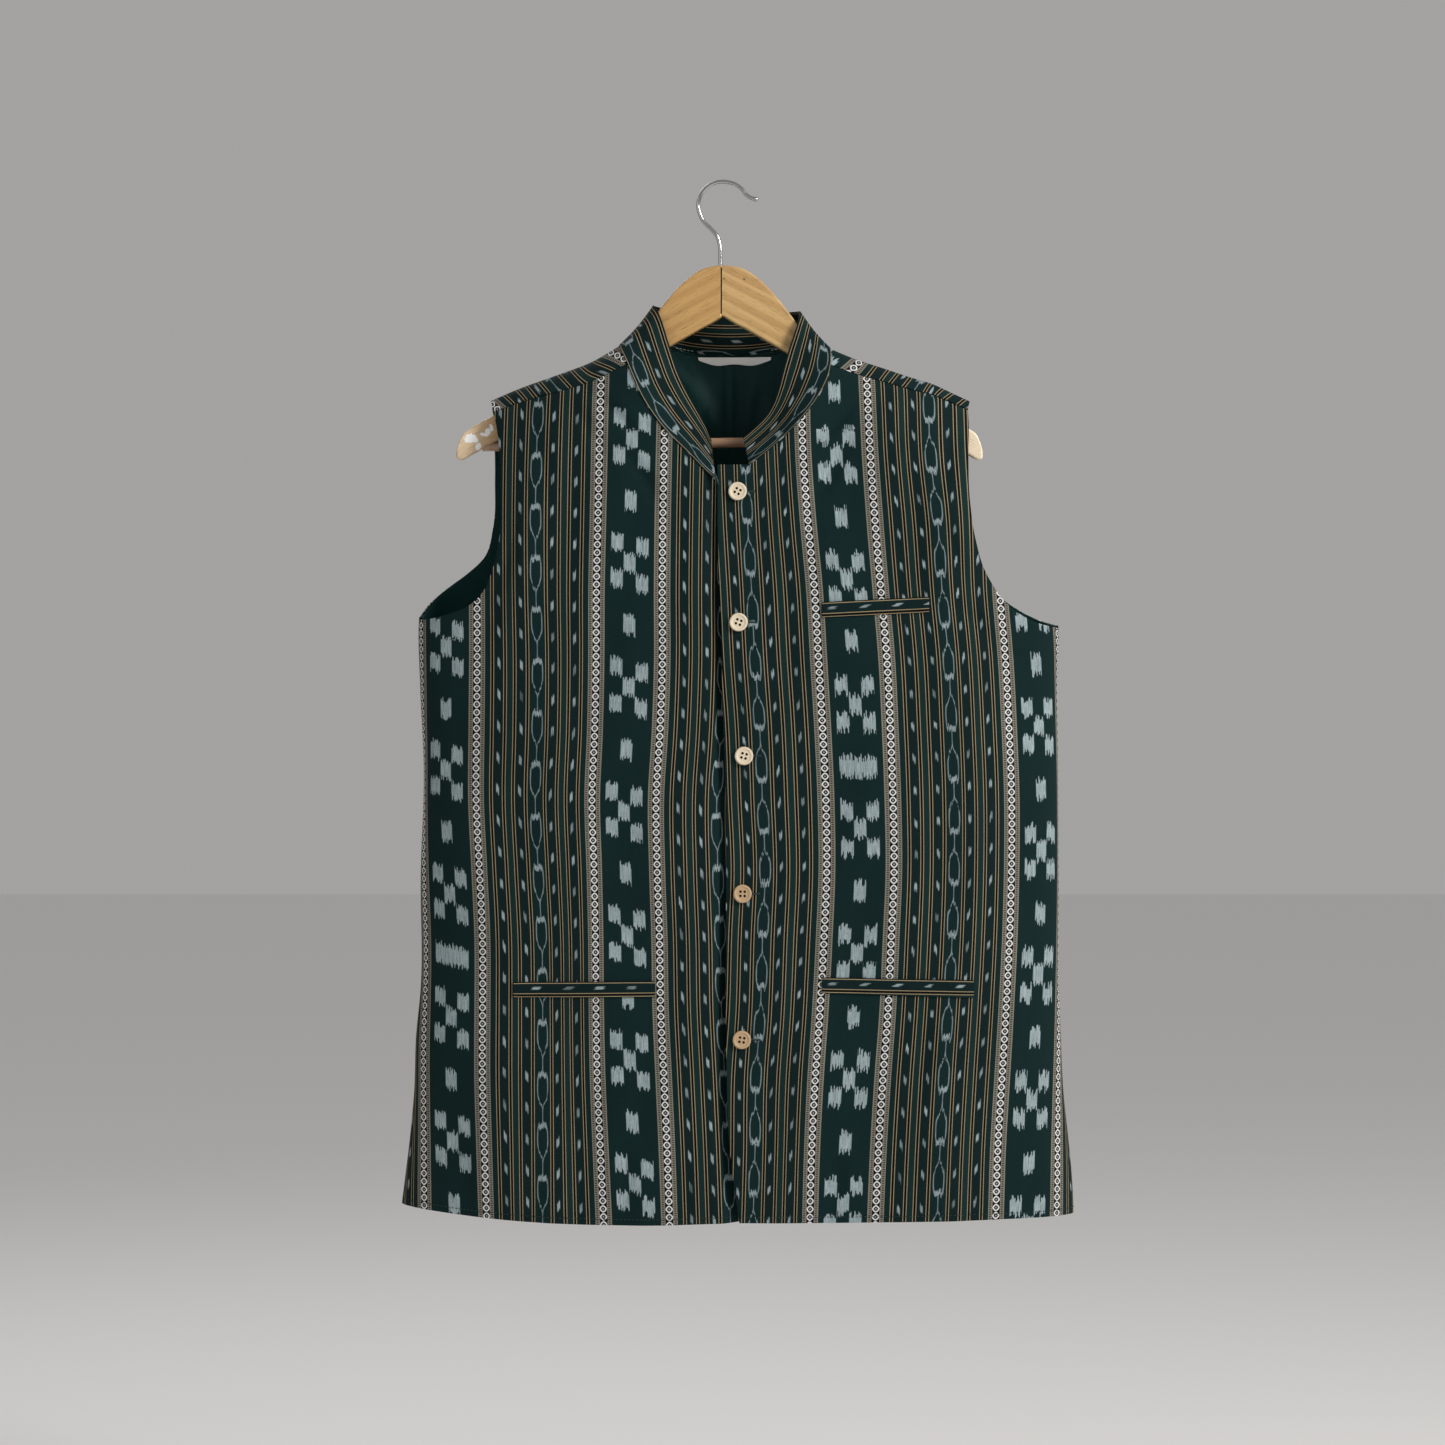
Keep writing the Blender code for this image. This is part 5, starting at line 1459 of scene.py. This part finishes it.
# %% [markdown]
# The cloth is handloom cotton with a traditional striped ikat. Across the warp its order repeats every
# 157 mm and mirrors about a chain of ovals, so one chart of half a repeat is enough: ground strips,
# pairs of cream lines with a dark line between them, and a woven border of rings between two ladders.
# The tie-dyed motifs lie on top: dashes, the chain and blocks in an X. Each thread of a motif starts
# and ends a little higher or lower than the next one, and that gives ikat its feathered edge. A table
# says where the motifs begin on each panel. The lining and the label are plain cloth.

# %% Ikat cloth, lining and label
HALF_REPEAT = 78.5
GROUND = (0.0028, 0.0160, 0.0165)
GROUND_DEEP = (0.0024, 0.0120, 0.0130)
GROUND_LIGHT = (0.0045, 0.0215, 0.0210)
CREAM = (0.290, 0.230, 0.135)
DARK = (0.0015, 0.0016, 0.0016)
LADDER = (0.200, 0.185, 0.150)
RING = (0.660, 0.670, 0.660)
RESIST = (0.320, 0.395, 0.415)
PAIRS = (8.1, 18.9, 26.8, 37.5)
PAIR_LINE, PAIR_DARK = 0.55, 1.85
BORDER, BORDER_HALF, BORDER_BLACK = 50.6, 6.9, 3.25
RING_PITCH, RING_RADIUS, RING_LINE, RING_POWER = 6.66, 2.5, 1.15, 1.5
RUNG_PITCH, RUNG_HALF, RUNG_REACH, RUNG_SHARE = 1.9, 0.5, 0.95, 0.85
CENTRE_HALF, CENTRE_SHARE = 0.75, 0.45
DASH_COLUMNS = (13.4, 32.1)
THREAD, THREAD_RUN, SWAY = 0.85, 35.0, 4.0
LONE_HALF, MIDDLE_HALF_ACROSS, MIDDLE_HALF_ALONG = 7.6, 5.0, 7.2
CORNER_ACROSS, CORNER_ALONG, CORNER_HALF_ACROSS, CORNER_HALF_ALONG = 10.8, 15.4, 5.2, 6.6
WIDE_HALF, WIDE_REACH_ACROSS, WIDE_REACH_ALONG = 15.5, 20.0, 24.0
FEATHER_ACROSS, FEATHER_ALONG = 0.6, 1.2
DASH_HALF, DASH_SLOPE, DASH_FEATHER = 1.2, 1.1, 2.2
CHAIN_HALF, CHAIN_LINE, OVAL_SHARE = 4.3, 0.42, 0.65
CAP_PLACE, CAP_HALF, CAP_START, CAP_FLARE, CAP_SHARE = 0.060, 0.050, 3.1, 9.0, 0.85
NOTCH_DEPTH, NOTCH_FLARE = 2.0, 22.0
OVAL = (
    (0.00, 0.62),
    (0.13, 0.94),
    (0.20, 1.00),
    (0.42, 1.00),
    (0.50, 0.86),
    (0.62, 0.42),
    (0.71, 0.04),
    (0.74, 0.00),
    (1.00, 0.00),
)
CHAIN_PERIOD = 43.0
WARP_WAVE, WEFT_WAVE, PLAIN_WAVE = 0.62, 0.70, 0.40
PLAIN_SHADES = (0.72, 1.35)
LINING_COLOUR, LABEL_COLOUR = (0.0015, 0.0310, 0.0300), (0.98, 0.98, 0.97)
IKAT_COLUMNS = (
    "name",
    "cross_period",
    "cross_start",
    "cross_skew",
    "cross_slant",
    "chain_start",
    "chain_turn",
    "dash_period",
    "dash_start",
    "dash_skew",
    "dash_length",
    "jitter",
    "shift",
    "wide_across",
    "wide_along",
)
IKATS = (
    ("ikat of the right front", 103.4, 28.7, -0.217, 0, 35.6, 1, 26.3, 3.1, -0.10, 3.3, 5, 0, -235.5, 642),
    ("ikat of the left front", 104.1, 13.5, -0.120, 0.1, -10.4, -1, 26.8, 13.8, 0.09, 2.7, 7, 0, 78.5, 498),
    ("ikat of the back", 103.4, 40.0, 0, 0, 12.0, 1, 26.3, 4.0, 0, 3.9, 5, 0, -78.5, 430),
    ("ikat of the collar", 103.4, 40.0, 0, 0, 20.0, 1, 26.3, 9.0, 0, 3.9, 5, 0, 0, 0),
    ("ikat inside the collar", 103.4, 40.0, 0, 0, 20.0, 1, 26.3, 9.0, 0, 3.9, 5, 8, 0, 0),
)


def stripe_chart():
    """Stops of the warp order from the chain's middle outwards: (millimetres, colour of the thread)."""
    stops = [(0.0, GROUND)]
    beyond = (GROUND_DEEP, GROUND_LIGHT, GROUND_DEEP, GROUND)
    for middle, after in zip(PAIRS, beyond):
        half = PAIR_DARK / 2
        stops.append((middle - half - PAIR_LINE, CREAM))
        stops.append((middle - half, DARK))
        stops.append((middle + half, CREAM))
        stops.append((middle + half + PAIR_LINE, after))
    stops.append((BORDER - BORDER_HALF, LADDER))
    stops.append((BORDER - BORDER_BLACK, DARK))
    stops.append((BORDER + BORDER_BLACK, LADDER))
    stops.append((BORDER + BORDER_HALF, GROUND))
    return stops


def warp_stripes(tree, folded):
    """The colour of the warp at a place in the half repeat: the chart as a ramp of flat steps."""
    chart = tree.nodes.new("ShaderNodeValToRGB")
    chart.color_ramp.interpolation = "CONSTANT"
    stops = stripe_chart()
    while len(chart.color_ramp.elements) < len(stops):
        chart.color_ramp.elements.new(1.0)
    for element, (place, colour) in zip(chart.color_ramp.elements, stops):
        element.position = place / HALF_REPEAT
        element.color = (*colour, 1)
    feed(tree, chart.inputs[0], folded * (1 / HALF_REPEAT))
    return chart.outputs[0]


def ikat_blocks(ikat, u, v, feathered):
    """Crosses of four corner blocks and a middle one, a lone block between them, and one wide block."""
    from_cross = u.node("WRAP", 2 * HALF_REPEAT, 0.0) - HALF_REPEAT
    slanted = u * ikat["cross_skew"] + from_cross * ikat["cross_slant"]
    cross_v = (feathered + slanted).repeat(ikat["cross_period"], ikat["cross_start"])
    beside = from_cross.size()
    lone_block = (cross_v.size() - ikat["cross_period"] / 2).within(LONE_HALF, FEATHER_ALONG)
    middle_block = cross_v.within(MIDDLE_HALF_ALONG, FEATHER_ALONG).larger(lone_block)
    middle_block = beside.within(MIDDLE_HALF_ACROSS, FEATHER_ACROSS) * middle_block
    corners_along = (cross_v.size() - CORNER_ALONG).within(CORNER_HALF_ALONG, FEATHER_ALONG)
    corner_blocks = (beside - CORNER_ACROSS).within(CORNER_HALF_ACROSS, FEATHER_ACROSS) * corners_along
    in_place = (v - ikat["wide_along"]).within(WIDE_REACH_ALONG, 1.0)
    in_place = in_place * (u - ikat["wide_across"]).within(WIDE_REACH_ACROSS, 1.0)
    wide_block = lone_block * in_place * beside.within(WIDE_HALF, FEATHER_ACROSS)
    return middle_block.larger(corner_blocks).larger(wide_block)


def oval_chain(tree, ikat, u, v, feathered, jitter):
    """The chain: each link is the outline of an oval that narrows to a thread, under a notched cap."""
    along = (feathered * 0.5 + v * 0.5) * ikat["chain_turn"]
    along = along.repeat(CHAIN_PERIOD, ikat["chain_start"]) * (1 / CHAIN_PERIOD) + 0.5
    curve = tree.nodes.new("ShaderNodeFloatCurve")
    points = curve.mapping.curves[0].points
    while len(points) < len(OVAL):
        points.new(0.5, 0.5)
    for point, (place, height) in zip(points, OVAL):
        point.location = (place, height)
    curve.mapping.update()
    feed(tree, curve.inputs["Value"], along)
    from_chain = (u + HALF_REPEAT).node("WRAP", 2 * HALF_REPEAT, 0.0) - HALF_REPEAT
    oval = (from_chain.size() - Sum(tree, curve.outputs[0]) * CHAIN_HALF).within(CHAIN_LINE, 0.5)
    cap_width = along * CAP_FLARE + CAP_START - jitter.size() * 0.3
    cap = (from_chain.size() - cap_width).node("LESS_THAN", 0.0)
    cap = cap * (along - CAP_PLACE).within(CAP_HALF, 0.03)
    outside_notch = (from_chain.size() - along * NOTCH_FLARE + NOTCH_DEPTH).node("GREATER_THAN", 0.0)
    return (oval * OVAL_SHARE).larger(cap * outside_notch * CAP_SHARE)


def dash_rows(tree, ikat, u, v, folded, jitter):
    """Short slanted dashes in columns, whose strength changes from patch to patch."""
    dashes = None
    for from_column in (folded - column for column in DASH_COLUMNS):
        along = v + jitter * 0.35 + u * ikat["dash_skew"] + from_column * DASH_SLOPE
        along = along.repeat(ikat["dash_period"], ikat["dash_start"])
        dash = from_column.within(DASH_HALF, 0.5) * along.within(ikat["dash_length"], DASH_FEATHER)
        dashes = dash if dashes is None else dashes.larger(dash)
    patch = noise_at(tree, 1.0, u * 0.045, v * 0.04)
    return dashes * (patch * 2.2 - 0.25).clipped(0.25)


def with_border(tree, colour, v, folded):
    """A colour with the border laid on it: rounded rings with a dot in each, and the ladders' rungs."""
    from_border = folded - BORDER
    along_ring = v.repeat(RING_PITCH)
    away = from_border.size().node("POWER", RING_POWER) + along_ring.size().node("POWER", RING_POWER)
    away = away.node("POWER", 1 / RING_POWER)
    ring = (away - RING_RADIUS).within(RING_LINE / 2, 0.35)
    centre = away.within(CENTRE_HALF, 0.5) * CENTRE_SHARE
    colour = mixed(tree, ring.larger(centre), colour, RING)
    ladder_middle = (BORDER_HALF + BORDER_BLACK) / 2
    rungs = (from_border.size() - ladder_middle).within(RUNG_REACH, 0.3)
    rungs = rungs * v.repeat(RUNG_PITCH).within(RUNG_HALF, 0.3)
    return mixed(tree, rungs * RUNG_SHARE, colour, DARK)


def ikat_cloth(ikat):
    """The cloth of one row of IKATS: its starts say where the motifs begin along the warp."""
    material, tree, shader = new_material(ikat["name"], 0.8, Sheen_Weight=0.02, Specular_IOR_Level=0.10)
    u, v = cloth_place(tree)
    u = u + ikat["shift"]
    folded = u.node("PINGPONG", HALF_REPEAT)
    colour = warp_stripes(tree, folded)

    thread = (u * (1 / THREAD)).node("FLOOR")
    random = tree.nodes.new("ShaderNodeTexWhiteNoise")
    random.noise_dimensions = "2D"
    cell = (v * (1 / THREAD_RUN)).node("FLOOR")
    feed(tree, random.inputs["Vector"], vector_of(tree, thread, cell))
    jitter = (Sum(tree, random.outputs["Value"]) - 0.5) * ikat["jitter"]
    sway = (noise_at(tree, 1.0, u * 0.35, v * 0.02) - 0.5) * SWAY
    feathered = v + jitter + sway

    motifs = ikat_blocks(ikat, u, v, feathered)
    motifs = motifs.larger(oval_chain(tree, ikat, u, v, feathered, jitter))
    motifs = motifs.larger(dash_rows(tree, ikat, u, v, folded, jitter))
    streaks = noise_at(tree, 2.0, u * 1.3, v * 0.07)
    weft_dots = noise_at(tree, 1.0, u * 1.1, v * 1.1)
    motifs = motifs * (streaks * 1.3 + weft_dots * 0.5 - 0.08).node("MINIMUM", 1.0)
    colour = with_border(tree, mixed(tree, motifs, colour, RESIST), v, folded)

    cloud = noise_at(tree, 3.0, u * 0.02, v * 0.012)
    slub = noise_at(tree, 2.0, u * 0.12, v * 1.6)
    shade = cloud * 0.35 + slub * 0.45 + streaks * 0.25 + 0.47
    tone = tree.nodes.new("ShaderNodeCombineColor")
    for inlet in tone.inputs[:3]:
        feed(tree, inlet, shade)
    feed(tree, shader.inputs["Base Color"], mixed(tree, 1.0, colour, tone.outputs[0], "MULTIPLY"))

    warp = (u * (2 * math.pi / WARP_WAVE)).node("SINE")
    weft = (v * (2 * math.pi / WEFT_WAVE)).node("SINE")
    rough = noise_at(tree, 3.0, u * 0.8, v * 0.9)
    height = warp * weft * 0.5 + rough * 1.4 + slub * 0.8
    bumped(tree, shader, height, 0.00012, 0.7)
    return material


def plain_cloth(name, colour, roughness, sheen):
    """Plain woven lining or tape: one colour with cloudy shade and a fine weave in its bump."""
    material, tree, shader = new_material(name, roughness, Sheen_Weight=sheen, Specular_IOR_Level=0.2)
    u, v = cloth_place(tree)
    cloud = noise_at(tree, 3.0, u * 0.03, v * 0.02)
    slub = noise_at(tree, 2.0, u * 0.2, v * 1.5)
    low, high = (tuple(share * channel for channel in colour) for share in PLAIN_SHADES)
    feed(tree, shader.inputs["Base Color"], mixed(tree, cloud * 0.6 + slub * 0.4, low, high))
    weave = (u * (2 * math.pi / PLAIN_WAVE)).node("SINE") * (v * (2 * math.pi / PLAIN_WAVE)).node("SINE")
    bumped(tree, shader, weave * 0.5 + slub, 0.00008, 0.6)
    return material


lining_material = plain_cloth("dark green lining", LINING_COLOUR, 0.52, 0.02)
label_material = plain_cloth("white tape", LABEL_COLOUR, 0.8, 0.2)
cloths = [ikat_cloth(ikat) for ikat in records(IKAT_COLUMNS, IKATS)]
cloth_right, cloth_left, cloth_back, cloth_band, cloth_band_inside = cloths
for piece, outside, inside in (
    (front_pieces[0], cloth_right, lining_material),
    (front_pieces[1], cloth_left, lining_material),
    (back_piece, cloth_back, lining_material),
    (collar_piece, cloth_band_inside, cloth_band),
    (welt_pieces[0], cloth_left, cloth_left),
    (welt_pieces[1], cloth_right, cloth_right),
    (welt_pieces[2], cloth_left, cloth_left),
    (lining_piece, lining_material, lining_material),
    (label_piece, label_material, label_material),
):
    piece.data.materials.append(outside)
    piece.data.materials.append(inside)
print("nodes in one ikat material:", len(cloth_right.node_tree.nodes))

# %% [markdown]
# The hanger is light wood under a thin varnish, so its coat is clear and its figure shows: long bands,
# short dark pores, old nail holes and a brown spot near the mitre, and paler tips. The board on the left
# is a darker orange, partly its own tone and partly painted shade, as the light falls from the right. A
# few chips of white paint lie on the tip on the left, each made of turned ovals. The hook is plated wire,
# and the buttons are bare wood, the lower two browner, with painted shade deep in their holes.

# %% Wood, wire, buttons and thread
# The left board's darker orange is partly its own tone and partly painted shade, as the light falls from
# the right.
WOOD_LIGHT, WOOD_ORANGE_WITH_SHADE = (0.640, 0.430, 0.180), (0.560, 0.340, 0.120)
WOOD_DARK, WOOD_PORE = (0.340, 0.170, 0.050), (0.150, 0.065, 0.020)
HOLE_SHADE = (0.012, 0.008, 0.006)
WIRE_COLOUR = (0.44, 0.445, 0.45)
BAR_LIGHT, BAR_DARK = (0.44, 0.27, 0.16), (0.30, 0.16, 0.09)
BUTTON_WOODS = (
    ("pale button wood", (0.78, 0.70, 0.56), (0.60, 0.48, 0.32)),
    ("browner button wood", (0.56, 0.40, 0.24), (0.36, 0.22, 0.11)),
)
BUTTON_WOOD_OF = (0, 0, 0, 1, 1)
GREEN_THREAD, PALE_THREAD = (0.008, 0.030, 0.028), (0.62, 0.61, 0.54)
NAIL_COLOUR, CHIP_COLOUR, FLECK_COLOUR = (0.05, 0.03, 0.02), (0.93, 0.93, 0.92), (0.40, 0.24, 0.12)
SPOT_COLUMNS = ("across", "up", "wide", "tall", "turn")
NAILS = ((2.6, -80.6, 0.8, 0.8, 0), (19.5, -81.0, 1.1, 0.7, 35), (66.0, -121.5, 2.6, 1.1, -35))
CHIPS = (
    (-211.6, -215.2, 5.0, 3.6, -20),
    (-207.2, -216.4, 3.0, 2.2, 30),
    (-204.6, -222.2, 2.2, 3.3, 20),
    (-199.6, -212.0, 3.6, 1.5, 8),
    (-196.4, -209.6, 2.4, 3.2, 30),
    (-193.6, -206.2, 1.4, 3.0, -20),
)
TIP_PALE, TIP_START, TIP_SPAN = (0.900, 0.760, 0.560), 205.0, 34.0


def vector_attribute(tree, name):
    """The three numbers of an attribute."""
    made = tree.nodes.new("ShaderNodeAttribute")
    made.attribute_name = name
    return parts_of(tree, made.outputs["Vector"])


def spots(tree, rows, wobble):
    """1 inside any of some turned ovals on the front face, with a ragged edge."""
    x, depth, z = (number * (1 / MM) for number in parts_of(tree, object_place(tree)))
    ragged = (noise_at(tree, 3.0, x * 0.7, z * 0.7) - 0.5) * wobble
    total = None
    for spot in records(SPOT_COLUMNS, rows):
        turn = math.radians(spot["turn"])
        right, rise = x - spot["across"], z - spot["up"]
        along = (right * math.cos(turn) - rise * math.sin(turn)) * (1 / spot["wide"])
        beside = (right * math.sin(turn) + rise * math.cos(turn)) * (1 / spot["tall"])
        oval = (along * along + beside * beside).node("SQRT") + ragged
        inside = oval.node("LESS_THAN", 1.0)
        total = inside if total is None else total.larger(inside)
    return total * depth.node("LESS_THAN", 0.0)


def wood(name, light, dark, nails=(), chips=(), paler=0.0):
    """Varnished wood: bands and pores stretched along the grain, a paler tip, then spots and chips."""
    material, tree, shader = new_material(name, 0.42, Coat_Weight=0.35, Coat_Roughness=0.18)
    along, beside, depth = vector_attribute(tree, "grain")
    bands = noise_at(tree, 3.0, along * 0.006, beside * 0.16, depth * 0.10)
    rings = ((beside * 0.5 + bands * 9.0 + depth * 0.2).node("SINE") * 0.5 + 0.5) * 0.45
    fine = noise_at(tree, 2.0, along * 0.05, beside * 1.7, depth * 1.2)
    colour = mixed(tree, rings + bands * 0.5, light, dark)
    pores = (noise_at(tree, 1.0, along * 0.11, beside * 2.6, depth * 2.6) - 0.63) * 9.0
    pores = pores.clipped()
    colour = mixed(tree, fine * 0.35, colour, light)
    if paler:
        # The colour grows paler towards the tip.
        pale_tip_and_wear = ((along - TIP_START) * (1 / TIP_SPAN)).clipped()
        colour = mixed(tree, pale_tip_and_wear * paler, colour, TIP_PALE)
    colour = mixed(tree, pores * 0.9, colour, WOOD_PORE)
    if nails:
        colour = mixed(tree, spots(tree, nails, 0.5) * 0.8, colour, NAIL_COLOUR)
    if chips:
        colour = mixed(tree, spots(tree, chips, 1.5), colour, CHIP_COLOUR)
    feed(tree, shader.inputs["Base Color"], colour)
    bumped(tree, shader, fine * 0.6 - pores * 0.8, 0.00010, 0.5)
    return material


def turned_wood(name, light, dark):
    """A button's bare wood: fine straight grain, a few brown flecks, and painted shade deep in its holes.
    """
    material, tree, shader = new_material(name, 0.5)
    x, y, deep = vector_attribute(tree, "grain")
    grain = noise_at(tree, 3.0, x * 0.25, y * 1.8)
    flecks = (noise_at(tree, 2.0, x * 0.9, y * 1.5) - 0.6) * 5.0
    colour = mixed(tree, grain, light, dark)
    colour = mixed(tree, flecks.clipped() * 0.5, colour, FLECK_COLOUR)
    # Painted shade: the deep part of each hole is darkened.
    colour = mixed(tree, (deep * 3.0).node("MINIMUM", 1.0), colour, HOLE_SHADE)
    feed(tree, shader.inputs["Base Color"], colour)
    bumped(tree, shader, grain, 0.00006, 0.5)
    return material


def plated_wire(name):
    """Old plating: bright, with faint clouds in its roughness."""
    material, tree, shader = new_material(name, 0.16, 1.0)
    feed(tree, shader.inputs["Base Color"], WIRE_COLOUR)
    pale_tip_and_wear = noise(tree, object_place(tree), 240.0, 3.0)
    feed(tree, shader.inputs["Roughness"], pale_tip_and_wear * 0.22 + 0.08)
    bumped(tree, shader, pale_tip_and_wear, 0.00001, 0.1)
    return material


def sewing_thread(name, colour):
    """Twisted thread: one colour with a fine diagonal twist in its bump."""
    material, tree, shader = new_material(name, 0.6)
    feed(tree, shader.inputs["Base Color"], colour)
    x, _, z = parts_of(tree, object_place(tree))
    twist = (x * 9000.0 + z * 5000.0).node("SINE")
    bumped(tree, shader, twist, 0.00003, 0.5)
    return material


# The left board takes the darker orange, which is partly painted shade.
board_left = wood("board on the left", WOOD_ORANGE_WITH_SHADE, WOOD_DARK, chips=CHIPS, paler=0.55)
board_right = wood("board on the right", WOOD_LIGHT, WOOD_DARK, nails=NAILS, paler=0.95)
bar_wood = wood("bar", BAR_LIGHT, BAR_DARK)
green_thread = sewing_thread("green thread", GREEN_THREAD)
plating = plated_wire("plated wire")
button_woods = [turned_wood(*row) for row in BUTTON_WOODS]
pale_thread = sewing_thread("pale thread", PALE_THREAD)
dressed = list(zip(hanger_pieces, (board_left, board_right, bar_wood)))
dressed.append((hook_piece, plating))
dressed += [(piece, button_woods[kind]) for piece, kind in zip(button_pieces, BUTTON_WOOD_OF)]
dressed += [(piece, green_thread) for piece in stitch_pieces]
dressed += [(piece, pale_thread) for piece in pale_pieces]
for piece, material in dressed:
    piece.data.materials.append(material)
print("materials:", len(bpy.data.materials))

# %% [markdown]
# The floor is only a stage. Its pale grey is plain, so nothing on it draws the eye.

# %% Floor
floor_mesh = bpy.data.meshes.new("floor")
half = FLOOR_SIZE / 2
corners = [(x, y, FLOOR_UP) for x, y in ((-half, -half), (half, -half), (half, half), (-half, half))]
floor_mesh.from_pydata(corners, [], [(0, 1, 2, 3)])
floor = bpy.data.objects.new("floor", floor_mesh)
bpy.context.scene.collection.objects.link(floor)
floor_material, _, floor_shader = new_material("pale floor", 0.7)
floor_shader.inputs["Base Color"].default_value = (*FLOOR_COLOUR, 1)
floor_mesh.materials.append(floor_material)
print("floor lies at", FLOOR_UP, "m")
